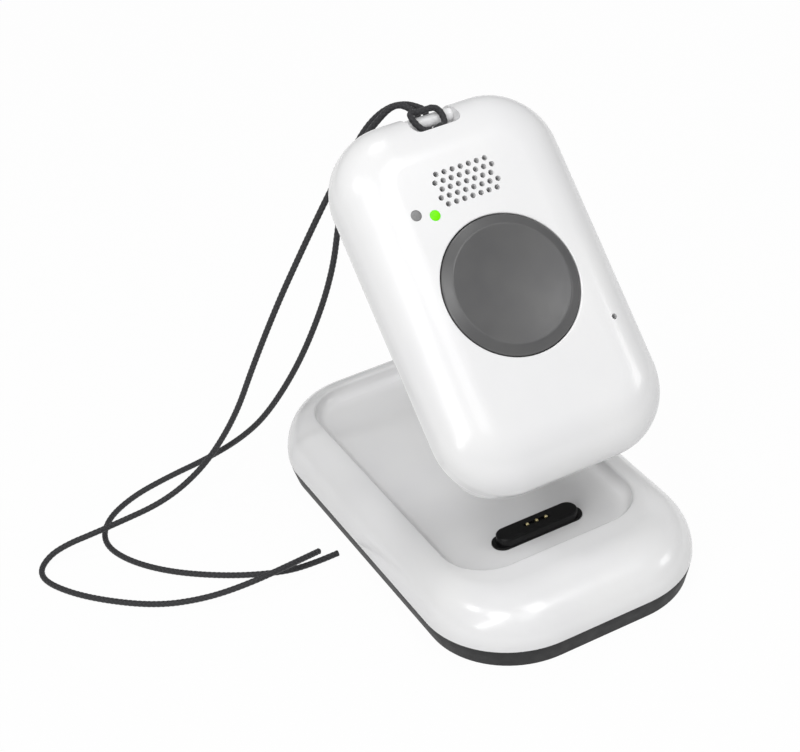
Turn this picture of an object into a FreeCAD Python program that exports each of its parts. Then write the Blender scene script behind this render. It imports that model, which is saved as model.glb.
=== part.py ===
import FreeCAD, Part
import math
import os

from FreeCAD import Placement, Rotation, Vector

# A charging cradle and the help-button pendant that docks in it, with the pendant's neck cord.
# Millimetres, +Z up, +X right, +Y to the rear. The origin is on the table under the cradle's centre,
# and the end with the charging pins faces -Y. The pendant is drawn lying flat in its own frame
# (its back plateau at z = 0, its top end towards +Y) and is then lifted and tilted over the cradle.

# Clearances
FIT_GAP = 0.1             # between pieces that are fitted together
SLIDE_GAP = 0.05          # round a pin in its barrel, on the radius
SEAT_GAP = 0.25           # between the docked pendant and the recess floor
BUTTON_GAP = 0.3          # round a moving button, and above its retaining flange
PAST = 1.0                # cuts run this far past a face
LEVEL = 0.01              # edges this close to a height count as level with it

# Cradle, outside
CRADLE_WIDTH = 54.0
CRADLE_LENGTH = 89.7
CRADLE_CORNER = 17.8
PAD_PROUD = 0.4           # how far the soft pad stands out below the base
BASE_HEIGHT = 3.8
BASE_UNDERCUT = 1.2       # how far the base draws in towards the table
SHELL_HEIGHT = 8.45
SHELL_SKIRT = 0.55        # upright part of the shell above the seam
RIM_LAND = 0.6            # narrow flat between the dome and the recess
FRONT_SLOPE = 10.5        # the wide band in front of the recess slopes further
CROWN_STEPS = 9           # flat bands in each round-over

# Cradle, walls
SHELL_WALL = 1.8
BASE_FLOOR = 1.4
LIP_HEIGHT = 1.2
LIP_WALL = 1.0
PAN_WALL = 1.6            # under and round the docking recess

# Docking recess
RECESS_HALF_WIDTH = 19.7
RECESS_FRONT_Y = -30.2
RECESS_BACK_Y = 38.3
RECESS_CORNER = 9.0
RECESS_DEPTH = 2.7
RECESS_FLOOR_RADIUS = 2.0

# Pad, ballast and screws under the cradle
PAD_HALF_WIDTH = 20.0
PAD_HALF_LENGTH = 37.0
PAD_CORNER = 10.0
PAD_POCKET = 0.5
BALLAST_THICK = 0.8
BALLAST_HALF_WIDTH = 9.0
BALLAST_FRONT_Y = -24.0
BALLAST_BACK_Y = 26.0
BALLAST_CORNER = 3.0
CRADLE_SCREW_X = 16.5
CRADLE_SCREW_FRONT_Y = -32.5
CRADLE_SCREW_BACK_Y = 31.5
SCREW_RADIUS = 1.0
SCREW_HEAD_RADIUS = 1.8
SCREW_HEAD_HEIGHT = 0.7
SCREW_LENGTH = 5.0
SCREW_CROSS_REACH = 1.1
SCREW_CROSS_HALF_WIDTH = 0.2
SCREW_CROSS_DEPTH = 0.4
BOSS_WALL = 1.3

# Soldered parts: centre x and y on their board, then width, length and height
CONTROLLER = (0.0, 4.5, 5.0, 5.0, 0.9)
COIL = (6.0, 10.0, 4.0, 4.0, 1.8)
CAPACITORS = ((-5.4, 15.0, 1.2, 2.0, 0.8), (-2.9, 15.0, 1.2, 2.0, 0.8))
MODEM = (-4.5, -22.25, 14.0, 11.5, 2.4)
SATELLITE_PATCH = (7.5, -22.9, 8.6, 8.6, 3.0)
CELL_ANTENNA_SIZE = (18.0, 2.0, 2.0)
CELL_ANTENNA_SETBACK = 1.4    # its middle, from the board's top end
MODEM_EDGE = 0.4
FEED_PIN_RADIUS = 0.6
FEED_PIN_HEIGHT = 0.3

# Cradle electronics
BOARD_THICK = 1.0
CRADLE_BOARD_GAP = 0.4    # air between the ballast plate and the board
CRADLE_BOARD_HALF_WIDTH = 11.0
CRADLE_BOARD_CORNER = 1.0
BOARD_PAST_CONNECTOR = 3.0
INLET_HALF_WIDTH = 3.9
INLET_HEIGHT = 2.4
INLET_LENGTH = 6.0
INLET_SHELL = 0.35
INLET_TONGUE = 0.6
INLET_CORNER = 0.7
INLET_SETBACK = 0.6       # the inlet's mouth lies this far inside the wall's face
RAIL_WIDTH = 2.0          # the two pairs of rails that carry the board's edges
RAIL_CLEAR = 1.0          # to the ballast plate
RAIL_FRONT_LENGTH = 2.0
RAIL_REAR_LENGTH = 9.0

# Charging connector and its spring pins
CONNECTOR_Y = -21.7
FLANGE_HALF_LENGTH = 9.5
FLANGE_HALF_WIDTH = 2.2
FLANGE_THICK = 0.4
BLOCK_HALF_LENGTH = 8.0
BLOCK_HALF_WIDTH = 1.95
BLOCK_RISE = 2.0          # above the recess floor
BLOCK_EDGE = 0.35
GROOVE_HALF_LENGTH = 3.1
GROOVE_HALF_WIDTH = 0.7
GROOVE_DEPTH = 0.3
PIN_PITCH = 2.0
PIN_RADIUS = 0.35
PIN_COLLAR_RADIUS = 0.45
PIN_COLLAR_LENGTH = 1.2
PIN_PROUD = 0.3           # above the connector block
BARREL_RADIUS = 0.75
BARREL_FLOOR = 0.4
BARREL_LIP = 0.35
BARREL_LENGTH = 6.3
SPRING_WIRE = 0.12
SPRING_TURNS = 9
MAGNET_RADIUS = 2.5
MAGNET_THICK = 1.6
MAGNET_X = 14.3

# Pendant, outside
PENDANT_WIDTH = 43.8
PENDANT_LENGTH = 68.7
PENDANT_CORNER = 12.6
PENDANT_THICK = 15.1      # from plateau to face
PLATEAU_DEPTH = 2.9       # how far the plateau stands out of the back
PLATEAU_GAP = 1.0         # to the recess wall, all round
PLATEAU_EDGE = 0.6
BACK_ROUND = 4.0          # the back edge's rounding, inwards
BACK_ROUND_HEIGHT = 3.0
BAND_HEIGHT = 2.1         # upright part of the side, above the seam
FRONT_ROUND = 9.7         # the front edge's rounding, inwards
CASE_WALL = 1.8
BACK_WALL = 1.6
TONGUE_WALL = 1.1
TONGUE_HEIGHT = 1.3
SEAL_WIDTH = 0.6
SEAL_DEPTH = 0.5
SEAL_NOTCH_GAP = 3.0      # the seal ends this far from the notch
SEAM_LAND = 0.05          # upright edge of the back cover at the seam

# Pendant, pose over the cradle and where it is seated
TILT = 47.0
HOVER_Y = -7.09           # where the plateau's centre is held
HOVER_Z = 51.88

# Help button
BUTTON_Y = -0.65
BUTTON_HOLE_RADIUS = 12.85
BUTTON_RIM_RADIUS = 10.8
BUTTON_RISE = 0.8
BUTTON_DISH = 0.9
BUTTON_TRAVEL = 0.4
BUTTON_FLANGE = 1.2       # how far the retaining flange reaches out past the hole
BUTTON_FLANGE_THICK = 0.9
BUTTON_SKIN = 1.2
STEM_RADIUS = 1.8
BOOT_WALL = 0.8
SWITCH_HALF = 3.0
SWITCH_HEIGHT = 1.8
SWITCH_PLUNGER_RADIUS = 1.5
SWITCH_PLUNGER_HEIGHT = 1.1

# Speaker, lights and microphone
SPEAKER_CLEAR = 1.2       # from the button's flange to the speaker
HOLE_PITCH = 1.617
HOLE_RADIUS = 0.46
GRID_ROWS = (7, 8, 7, 8, 7)
SPEAKER_HALF_WIDTH = 6.5
SPEAKER_HALF_LENGTH = 4.4
SPEAKER_HEIGHT = 3.2
SPEAKER_CORNER = 2.0
SPEAKER_FOOT_HALF = 1.9
MESH_THICK = 0.15
WINDOW_RADIUS = 0.97
WINDOW_PLACES = ((-11.25, 16.1), (-8.0, 15.05))
WINDOW_NAMES = ("status_window_left", "status_window_right")
LED_HALF = 0.7
LED_HEIGHT = 0.55
MIC_FROM_SIDE = 6.1
MIC_Y = -12.15
MIC_HOLE_RADIUS = 0.45
MIC_HALF = 1.6
MIC_HEIGHT = 1.1
MIC_BOOT_RADIUS = 1.3

# Pendant electronics
PENDANT_BOARD_Z = 6.2
PENDANT_BOARD_SIDE_CLEAR = 0.5
PENDANT_BOARD_END_CLEAR = 2.35
PENDANT_BOARD_NOTCH_CLEAR = 1.6
PENDANT_BOARD_CORNER = 7.0
BATTERY_HALF_WIDTH = 11.8
BATTERY_LOW_Y = -18.0
BATTERY_HIGH_Y = 23.0
BATTERY_THICK = 3.9
BATTERY_CORNER = 1.5
BATTERY_EDGE = 0.8
PENDANT_SCREW_X = 14.6
PENDANT_SCREW_LOW_Y = -19.5
PENDANT_SCREW_HIGH_Y = 25.0
PENDANT_BOSS_RADIUS = 2.2
PENDANT_SCREW_LENGTH = 5.5
CONTACT_RADIUS = 0.75
CONTACT_THICK = 0.35
CONTACT_STEM = 0.4
CONTACT_LIFT = 0.1        # pads stop this far above the free pin tips
POCKET_SIDE_SLACK = 0.9   # beside the connector's flange, because the pendant swings on to it
POCKET_END_SLACK = 0.5    # at its ends

# Notch, bar and cord
NOTCH_HALF_WIDTH = 4.8
NOTCH_DEPTH = 4.45
NOTCH_CORNER = 1.6
NOTCH_WALL = 1.5
BAR_RADIUS = 1.2
BAR_FROM_NOTCH = 2.6      # the bar's middle, from the notch's bottom
BAR_Z = 9.4
BAR_SOCKET = 1.0
CORD_DIAMETER = 1.2
HITCH_LOOP = [(2.9, 0.4), (2.3, 3.8), (-1.9, 4.05), (-3.1, 1.15)]     # x, and y from its fold
LEG_SPACING = 1.5         # between the two legs that pass behind the bar
LEG_REACH = 2.7           # past the bar's middle
CORD_LEAD = 1.8           # a strand goes straight on from its leg before it bends
ARC_SHARE = 0.45          # of the shorter run beside a corner that its arc takes

# The routes of the two strands, from the hitch to their cut ends, as the cord lies over the
# pendant's shoulder, falls to the table and loops there. Their first points follow the leads.
LONG_STRAND_ROUTE = [
    (-1.0, 15.2, 83.5), (-3.2, 16.8, 83.0), (-5.4, 18.4, 80.6), (-7.7, 19.4, 77.4),
    (-10.2, 20.0, 73.7), (-13.1, 20.4, 69.9), (-16.4, 20.8, 65.1), (-21.4, 21.4, 57.3),
    (-27.4, 22.8, 46.8), (-33.2, 25.2, 34.0), (-37.1, 28.2, 22.6), (-42.6, 31.6, 12.5),
    (-48.6, 32.8, 7.4), (-55.1, 32.4, 5.6), (-62.6, 32.7, 4.8), (-69.0, 32.5, 4.6),
    (-73.7, 34.4, 3.0), (-77.7, 35.1, 1.4), (-81.0, 32.2, 0.7), (-80.3, 27.1, 0.6),
    (-75.0, 18.9, 0.6), (-65.6, 10.0, 0.6), (-57.2, 5.3, 1.6), (-49.7, 0.8, 4.8),
    (-40.3, 1.4, 4.8), (-33.5, 4.2, 2.8),
]
SHORT_STRAND_ROUTE = [
    (-2.2, 13.6, 83.9), (-3.8, 14.8, 83.2), (-5.4, 16.4, 81.0), (-7.0, 17.6, 78.5),
    (-8.8, 18.2, 75.4), (-11.2, 18.4, 71.4), (-13.5, 18.2, 66.9), (-15.2, 18.0, 61.3),
    (-16.9, 18.4, 53.6), (-20.0, 19.8, 44.2), (-25.1, 22.6, 32.2), (-31.0, 27.0, 21.0),
    (-35.5, 31.2, 14.6), (-41.5, 37.2, 8.3), (-48.9, 42.5, 3.5), (-56.6, 44.4, 0.6),
    (-63.7, 40.2, 0.6), (-67.0, 33.7, 0.6), (-65.2, 26.1, 0.6), (-59.6, 17.9, 0.6),
    (-51.2, 10.6, 0.6), (-43.2, 5.9, 0.6), (-36.7, 3.9, 0.6), (-29.7, 4.1, 0.6),
]

# Heights and centres that follow from the sizes above
UP = Vector(0, 0, 1)
SEAM_Z = PAD_PROUD + BASE_HEIGHT
RIM_Z = SEAM_Z + SHELL_HEIGHT
FLOOR_Z = RIM_Z - RECESS_DEPTH
PAN_Z = FLOOR_Z - PAN_WALL
BASE_INSIDE_Z = PAD_PROUD + BASE_FLOOR
CRADLE_BOARD_Z = BASE_INSIDE_Z + BALLAST_THICK + CRADLE_BOARD_GAP
CRADLE_BOARD_TOP = CRADLE_BOARD_Z + BOARD_THICK
BLOCK_TOP_Z = FLOOR_Z + BLOCK_RISE
PIN_TIP_Z = BLOCK_TOP_Z + PIN_PROUD
RECESS_CENTRE_Y = (RECESS_FRONT_Y + RECESS_BACK_Y) / 2
CORD_RADIUS = CORD_DIAMETER / 2

PLATEAU_HALF_WIDTH = RECESS_HALF_WIDTH - PLATEAU_GAP
PLATEAU_HALF_LENGTH = (RECESS_BACK_Y - RECESS_FRONT_Y) / 2 - PLATEAU_GAP
PLATEAU_CORNER = RECESS_CORNER - PLATEAU_GAP
CASE_SEAM_Z = PLATEAU_DEPTH + BACK_ROUND_HEIGHT
FRONT_ROUND_Z = CASE_SEAM_Z + BAND_HEIGHT
FACE_INSIDE_Z = PENDANT_THICK - CASE_WALL
PENDANT_BOARD_TOP = PENDANT_BOARD_Z + BOARD_THICK
NOTCH_BOTTOM_Y = PENDANT_LENGTH / 2 - NOTCH_DEPTH
BAR_Y = NOTCH_BOTTOM_Y + BAR_FROM_NOTCH
LEG_END_Y = BAR_Y + LEG_REACH
TONGUE_INSET = CASE_WALL + FIT_GAP
CASE_INSIDE_INSET = TONGUE_INSET + TONGUE_WALL
PENDANT_BOARD_HALF_WIDTH = PENDANT_WIDTH / 2 - CASE_INSIDE_INSET - PENDANT_BOARD_SIDE_CLEAR
PENDANT_BOARD_BACK_Y = CASE_INSIDE_INSET + PENDANT_BOARD_END_CLEAR - PENDANT_LENGTH / 2
PENDANT_BOARD_TOP_Y = NOTCH_BOTTOM_Y - NOTCH_WALL - PENDANT_BOARD_NOTCH_CLEAR
MIC_X = PENDANT_WIDTH / 2 - MIC_FROM_SIDE
CONTACT_Y = CONNECTOR_Y - RECESS_CENTRE_Y
CONTACT_Z = PIN_TIP_Z + CONTACT_LIFT - FLOOR_Z - SEAT_GAP
POCKET_HALF_LENGTH = FLANGE_HALF_LENGTH + POCKET_END_SLACK
POCKET_HALF_WIDTH = FLANGE_HALF_WIDTH + POCKET_SIDE_SLACK
POCKET_ROOF_Z = CONTACT_Z + CONTACT_THICK + BACK_WALL
FLANGE_TOP_Z = FACE_INSIDE_Z - BUTTON_GAP
FLANGE_BOTTOM_Z = FLANGE_TOP_Z - BUTTON_FLANGE_THICK
BUTTON_RADIUS = BUTTON_HOLE_RADIUS - BUTTON_GAP
FLANGE_RADIUS = BUTTON_HOLE_RADIUS + BUTTON_FLANGE
GRID_Y = BUTTON_Y + FLANGE_RADIUS + SPEAKER_CLEAR + SPEAKER_HALF_LENGTH
SWITCH_TOP_Z = PENDANT_BOARD_TOP + SWITCH_HEIGHT
PLUNGER_TOP_Z = SWITCH_TOP_Z + SWITCH_PLUNGER_HEIGHT

HOVER = Placement(Vector(0, HOVER_Y, HOVER_Z), Rotation(Vector(1, 0, 0), TILT))
SEATED = Placement(Vector(0, RECESS_CENTRE_Y, FLOOR_Z + SEAT_GAP), Rotation())


# Shapes that several sub-parts share

def outline(half_x, low_y, high_y, corner, z):
    """A level closed wire: a rectangle with round corners, symmetric about X = 0."""
    c = corner
    s = corner * math.sqrt(0.5)
    corners = (
        (half_x - c, high_y - c, 0, 1, 1, 0),
        (half_x - c, low_y + c, 1, 0, 0, -1),
        (-half_x + c, low_y + c, 0, -1, -1, 0),
        (-half_x + c, high_y - c, -1, 0, 0, 1),
    )
    ends = []
    arcs = []
    for cx, cy, ax, ay, bx, by in corners:
        first = Vector(cx + ax * c, cy + ay * c, z)
        middle = Vector(cx + (ax + bx) * s, cy + (ay + by) * s, z)
        last = Vector(cx + bx * c, cy + by * c, z)
        ends.append((first, last))
        arcs.append(Part.Arc(first, middle, last).toShape())
    edges = []
    for i, arc in enumerate(arcs):
        edges.append(arc)
        edges.append(Part.LineSegment(ends[i][1], ends[(i + 1) % 4][0]).toShape())
    return Part.Wire(edges)


def slab(half_x, low_y, high_y, corner, low_z, high_z):
    """A plate with round corners."""
    face = Part.Face(outline(half_x, low_y, high_y, corner, low_z))
    return face.extrude(Vector(0, 0, high_z - low_z))


def pill(half_x, half_y, y, low_z, high_z):
    """A plate with fully round ends, long in X."""
    return slab(half_x, y - half_y, y + half_y, half_y - LEVEL / 2, low_z, high_z)


def cylinder(radius, x, y, low_z, high_z):
    return Part.makeCylinder(radius, high_z - low_z, Vector(x, y, low_z))


def block(low, high):
    size = [b - a for a, b in zip(low, high)]
    return Part.makeBox(size[0], size[1], size[2], Vector(*low))


def crown(half_x, low_y, high_y, corner, skirt_z, round_z, top_z, insets):
    """A solid with an upright skirt and an elliptical round-over that ends level at top_z.

    insets are how far the round-over draws in at the sides, the front, the rear and the corners.
    """
    side, front, rear, at_corner = insets
    wires = [outline(half_x, low_y, high_y, corner, skirt_z)]
    for step in range(CROWN_STEPS + 1):
        turn = math.pi / 2 * step / CROWN_STEPS
        share = 1 - math.cos(turn)
        z = round_z + (top_z - round_z) * math.sin(turn)
        wires.append(outline(half_x - side * share, low_y + front * share,
                             high_y - rear * share, corner - at_corner * share, z))
    return Part.makeLoft(wires, True, True)


def even(amount):
    return (amount, amount, amount, amount)


def select_edges(shape, z):
    """The edges of a shape that lie level at height z."""
    return [e for e in shape.Edges
            if abs(e.BoundBox.ZMin - z) < LEVEL and abs(e.BoundBox.ZMax - z) < LEVEL]


def joined(shapes):
    """Separate solids of one kind, kept as one group."""
    return Part.makeCompound([s for shape in shapes for s in shape.Solids])


def four_places(x, low_y, high_y):
    return [(-x, low_y), (x, low_y), (-x, high_y), (x, high_y)]


def soldered(sizes, low_z):
    """A part that stands on its board at low_z."""
    x, y, width, length, height = sizes
    return block((x - width / 2, y - length / 2, low_z),
                 (x + width / 2, y + length / 2, low_z + height))


def save(shape, name):
    """Write one node and print its volume."""
    for solid in shape.Solids:
        if not solid.isValid():
            raise ValueError(name + " has an invalid solid")
    shape.exportStep("parts/" + name + ".step")
    print(f"{name}: {len(shape.Solids)} solid(s), {shape.Volume:.1f} mm3")


# Cradle housing

def shell_crown(inset, top_z):
    """The top shell's outer form, drawn in all round by inset."""
    half_width = CRADLE_WIDTH / 2
    half_length = CRADLE_LENGTH / 2
    side = half_width - RECESS_HALF_WIDTH - RIM_LAND
    rear = half_length - RECESS_BACK_Y - RIM_LAND
    at_corner = CRADLE_CORNER - RECESS_CORNER - RIM_LAND
    return crown(half_width - inset, inset - half_length, half_length - inset,
                 CRADLE_CORNER - inset, SEAM_Z, SEAM_Z + SHELL_SKIRT, top_z,
                 (side, FRONT_SLOPE, rear, at_corner))


def recess_solid(grow, low_z, high_z):
    """The docking recess, or with grow the outside of the pan round it."""
    solid = slab(RECESS_HALF_WIDTH + grow, RECESS_FRONT_Y - grow, RECESS_BACK_Y + grow,
                 RECESS_CORNER + grow, low_z, high_z)
    return solid.makeFillet(RECESS_FLOOR_RADIUS, select_edges(solid, low_z))


def cradle_screw_places():
    return four_places(CRADLE_SCREW_X, CRADLE_SCREW_FRONT_Y, CRADLE_SCREW_BACK_Y)


def inlet_opening(grow):
    """The space that the power inlet fills, out through the rear wall."""
    low_y = CRADLE_LENGTH / 2 - INLET_SETBACK - INLET_LENGTH
    low = (-INLET_HALF_WIDTH - grow, low_y, CRADLE_BOARD_TOP - grow)
    high = (INLET_HALF_WIDTH + grow, CRADLE_LENGTH, CRADLE_BOARD_TOP + INLET_HEIGHT + grow)
    return block(low, high)


def connector_slot(grow):
    return pill(BLOCK_HALF_LENGTH + grow, BLOCK_HALF_WIDTH + grow, CONNECTOR_Y,
                CRADLE_BOARD_TOP, BLOCK_TOP_Z)


def cradle_top_shell():
    outer = shell_crown(0, RIM_Z)
    hollow = shell_crown(SHELL_WALL, RIM_Z - SHELL_WALL)
    pan = recess_solid(PAN_WALL, PAN_Z, RIM_Z + PAST)
    recess = recess_solid(0, FLOOR_Z, RIM_Z + PAST)
    shell = outer.cut(hollow.cut(pan)).cut(recess)
    for x, y in cradle_screw_places():
        upper = cylinder(SCREW_RADIUS + BOSS_WALL, x, y, SEAM_Z, RIM_Z).common(outer).cut(recess)
        lower = cylinder(SCREW_RADIUS + BOSS_WALL, x, y, BASE_INSIDE_Z + FIT_GAP, SEAM_Z)
        shell = shell.fuse(upper).fuse(lower)
        shell = shell.cut(cylinder(SCREW_RADIUS, x, y, BASE_INSIDE_Z,
                                   PAD_PROUD + PAD_POCKET + SCREW_LENGTH))
    shell = shell.cut(connector_slot(FIT_GAP))
    shell = shell.cut(inlet_opening(FIT_GAP))
    return shell.removeSplitter()


def cradle_base():
    half_width = CRADLE_WIDTH / 2
    half_length = CRADLE_LENGTH / 2
    low = outline(half_width - BASE_UNDERCUT, BASE_UNDERCUT - half_length,
                  half_length - BASE_UNDERCUT, CRADLE_CORNER - BASE_UNDERCUT, PAD_PROUD)
    high = outline(half_width, -half_length, half_length, CRADLE_CORNER, SEAM_Z)
    tray = Part.makeLoft([low, high], True, True)
    lip_inset = SHELL_WALL + FIT_GAP
    tray = tray.fuse(slab(half_width - lip_inset, lip_inset - half_length,
                          half_length - lip_inset, CRADLE_CORNER - lip_inset,
                          BASE_INSIDE_Z, SEAM_Z + LIP_HEIGHT))
    inset = lip_inset + LIP_WALL
    tray = tray.cut(slab(half_width - inset, inset - half_length, half_length - inset,
                         CRADLE_CORNER - inset, BASE_INSIDE_Z, SEAM_Z + LIP_HEIGHT + PAST))
    tray = tray.cut(slab(PAD_HALF_WIDTH, -PAD_HALF_LENGTH, PAD_HALF_LENGTH, PAD_CORNER,
                         PAD_PROUD, PAD_PROUD + PAD_POCKET))
    front_rails = BALLAST_FRONT_Y - RAIL_CLEAR
    rear_rails = BALLAST_BACK_Y + RAIL_CLEAR
    for edge in (-CRADLE_BOARD_HALF_WIDTH, CRADLE_BOARD_HALF_WIDTH):
        low_x = edge - RAIL_WIDTH / 2
        high_x = edge + RAIL_WIDTH / 2
        tray = tray.fuse(block((low_x, front_rails - RAIL_FRONT_LENGTH, BASE_INSIDE_Z),
                               (high_x, front_rails, CRADLE_BOARD_Z)))
        tray = tray.fuse(block((low_x, rear_rails, BASE_INSIDE_Z),
                               (high_x, rear_rails + RAIL_REAR_LENGTH, CRADLE_BOARD_Z)))
    pocket_top = PAD_PROUD + PAD_POCKET
    for x, y in cradle_screw_places():
        tray = tray.cut(cylinder(SCREW_RADIUS + FIT_GAP, x, y, PAD_PROUD, SEAM_Z))
        tray = tray.cut(cylinder(SCREW_HEAD_RADIUS + FIT_GAP, x, y, pocket_top,
                                 pocket_top + SCREW_HEAD_HEIGHT))
    tray = tray.cut(inlet_opening(FIT_GAP))
    return tray.removeSplitter()


def cradle_foot_pad():
    return slab(PAD_HALF_WIDTH - FIT_GAP, FIT_GAP - PAD_HALF_LENGTH, PAD_HALF_LENGTH - FIT_GAP,
                PAD_CORNER - FIT_GAP, 0, PAD_PROUD + PAD_POCKET)


def cradle_ballast_plate():
    return slab(BALLAST_HALF_WIDTH, BALLAST_FRONT_Y, BALLAST_BACK_Y, BALLAST_CORNER,
                BASE_INSIDE_Z, BASE_INSIDE_Z + BALLAST_THICK)


def screw(x, y, low_z, length):
    """A pan-head screw that points up, with a cross recess in its head."""
    head = cylinder(SCREW_HEAD_RADIUS, x, y, low_z, low_z + SCREW_HEAD_HEIGHT)
    shank = cylinder(SCREW_RADIUS - SLIDE_GAP, x, y, low_z, low_z + length)
    arm = SCREW_CROSS_REACH
    half = SCREW_CROSS_HALF_WIDTH
    high_z = low_z + SCREW_CROSS_DEPTH
    body = head.fuse(shank)
    body = body.cut(block((x - arm, y - half, low_z), (x + arm, y + half, high_z)))
    return body.cut(block((x - half, y - arm, low_z), (x + half, y + arm, high_z)))


def cradle_screws():
    low_z = PAD_PROUD + PAD_POCKET
    length = SCREW_LENGTH - FIT_GAP
    return joined([screw(x, y, low_z, length) for x, y in cradle_screw_places()])


# Cradle electronics

def cradle_circuit_board():
    low_y = CONNECTOR_Y - FLANGE_HALF_WIDTH - BOARD_PAST_CONNECTOR
    high_y = CRADLE_LENGTH / 2 - SHELL_WALL - LIP_WALL - 2 * FIT_GAP
    return slab(CRADLE_BOARD_HALF_WIDTH, low_y, high_y, CRADLE_BOARD_CORNER, CRADLE_BOARD_Z,
                CRADLE_BOARD_TOP)


def cradle_board_parts():
    """The charge controller, its coil and two capacitors, soldered on the board."""
    return joined([soldered(sizes, CRADLE_BOARD_TOP) for sizes in (CONTROLLER, COIL) + CAPACITORS])


def cradle_power_inlet():
    """A flat metal inlet with a contact tongue, open to the rear."""
    high_y = CRADLE_LENGTH / 2 - INLET_SETBACK
    low_y = high_y - INLET_LENGTH
    bottom = CRADLE_BOARD_TOP
    top = bottom + INLET_HEIGHT
    wall = INLET_SHELL
    can = block((-INLET_HALF_WIDTH, low_y, bottom), (INLET_HALF_WIDTH, high_y, top))
    along = [e for e in can.Edges if abs(e.BoundBox.YLength - INLET_LENGTH) < LEVEL]
    can = can.makeFillet(INLET_CORNER, along)
    inside = block((wall - INLET_HALF_WIDTH, low_y + wall, bottom + wall),
                   (INLET_HALF_WIDTH - wall, high_y + PAST, top - wall))
    middle = (bottom + top) / 2
    tongue = block((-INLET_HALF_WIDTH / 2, low_y + wall, middle - INLET_TONGUE / 2),
                   (INLET_HALF_WIDTH / 2, high_y - 2 * wall, middle + INLET_TONGUE / 2))
    return can.cut(inside).fuse(tongue).removeSplitter()


def pin_places():
    return (("left", -PIN_PITCH), ("middle", 0.0), ("right", PIN_PITCH))


def charging_connector():
    """The pill-shaped housing: a flange on the recess floor and a raised block round the pins."""
    flange = pill(FLANGE_HALF_LENGTH, FLANGE_HALF_WIDTH, CONNECTOR_Y, FLOOR_Z,
                  FLOOR_Z + FLANGE_THICK)
    body = connector_slot(0)
    body = body.makeFillet(BLOCK_EDGE, select_edges(body, BLOCK_TOP_Z))
    housing = flange.fuse(body)
    groove_z = BLOCK_TOP_Z - GROOVE_DEPTH
    housing = housing.cut(pill(GROOVE_HALF_LENGTH, GROOVE_HALF_WIDTH, CONNECTOR_Y, groove_z,
                               BLOCK_TOP_Z + PAST))
    for _, x in pin_places():
        housing = housing.cut(cylinder(PIN_RADIUS + SLIDE_GAP, x, CONNECTOR_Y, CRADLE_BOARD_TOP,
                                       BLOCK_TOP_Z))
        housing = housing.cut(cylinder(BARREL_RADIUS, x, CONNECTOR_Y, CRADLE_BOARD_TOP,
                                       CRADLE_BOARD_TOP + BARREL_LENGTH))
    return housing.removeSplitter()


def pogo_barrels():
    """Tubes closed at the board and crimped in at the top, so the pins stay in."""
    low = CRADLE_BOARD_TOP
    high = low + BARREL_LENGTH
    barrels = []
    for _, x in pin_places():
        tube = cylinder(BARREL_RADIUS, x, CONNECTOR_Y, low, high)
        bore = cylinder(PIN_COLLAR_RADIUS + SLIDE_GAP, x, CONNECTOR_Y, low + BARREL_FLOOR,
                        high - BARREL_LIP)
        mouth = cylinder(PIN_RADIUS + SLIDE_GAP, x, CONNECTOR_Y, high - BARREL_LIP, high)
        barrels.append(tube.cut(bore).cut(mouth))
    return joined(barrels)


def collar_low_z():
    return CRADLE_BOARD_TOP + BARREL_LENGTH - BARREL_LIP - SLIDE_GAP - PIN_COLLAR_LENGTH


def pogo_pin(x):
    """A plunger with a domed tip and the collar that the barrel's crimp holds."""
    collar = cylinder(PIN_COLLAR_RADIUS, x, CONNECTOR_Y, collar_low_z(),
                      collar_low_z() + PIN_COLLAR_LENGTH)
    rod = cylinder(PIN_RADIUS, x, CONNECTOR_Y, collar_low_z(), PIN_TIP_Z - PIN_RADIUS)
    tip = Part.makeSphere(PIN_RADIUS, Vector(x, CONNECTOR_Y, PIN_TIP_Z - PIN_RADIUS))
    return collar.fuse(rod).fuse(tip).removeSplitter()


def pogo_spring(x):
    """A coil spring between the barrel's floor and the plunger."""
    low = CRADLE_BOARD_TOP + BARREL_FLOOR + SPRING_WIRE
    high = collar_low_z() - SPRING_WIRE
    radius = PIN_COLLAR_RADIUS - SPRING_WIRE
    helix = Part.makeHelix((high - low) / SPRING_TURNS, high - low, radius)
    wire = Part.Wire(Part.makeCircle(SPRING_WIRE / 2, Vector(radius, 0, 0),
                                     Vector(0, 1, 0)))
    coil = Part.Wire(helix).makePipeShell([wire], True, True)
    coil.translate(Vector(x, CONNECTOR_Y, low))
    return coil


def cradle_magnets():
    high = PAN_Z - FIT_GAP
    return joined([cylinder(MAGNET_RADIUS, x, CONNECTOR_Y, high - MAGNET_THICK, high)
                   for x in (-MAGNET_X, MAGNET_X)])


# Pendant housing, drawn flat

def notch(grow, low_z, high_z):
    """The through notch at the top end, or with grow the walls round it."""
    return slab(NOTCH_HALF_WIDTH + grow, NOTCH_BOTTOM_Y - grow, PENDANT_LENGTH,
                NOTCH_CORNER + grow, low_z, high_z)


def front_crown(inset, low_z, top_z):
    half_width = PENDANT_WIDTH / 2 - inset
    half_length = PENDANT_LENGTH / 2 - inset
    return crown(half_width, -half_length, half_length, PENDANT_CORNER - inset, low_z,
                 FRONT_ROUND_Z, top_z, even(FRONT_ROUND - inset / 2))


def grid_places():
    """The speaker's holes: rows in a hexagonal pattern."""
    row_step = HOLE_PITCH * math.sqrt(0.75)
    places = []
    for row, count in enumerate(GRID_ROWS):
        y = GRID_Y + (row - (len(GRID_ROWS) - 1) / 2) * row_step
        for i in range(count):
            places.append(((i - (count - 1) / 2) * HOLE_PITCH, y))
    return places


def pendant_screw_places():
    return four_places(PENDANT_SCREW_X, PENDANT_SCREW_LOW_Y, PENDANT_SCREW_HIGH_Y)


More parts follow.
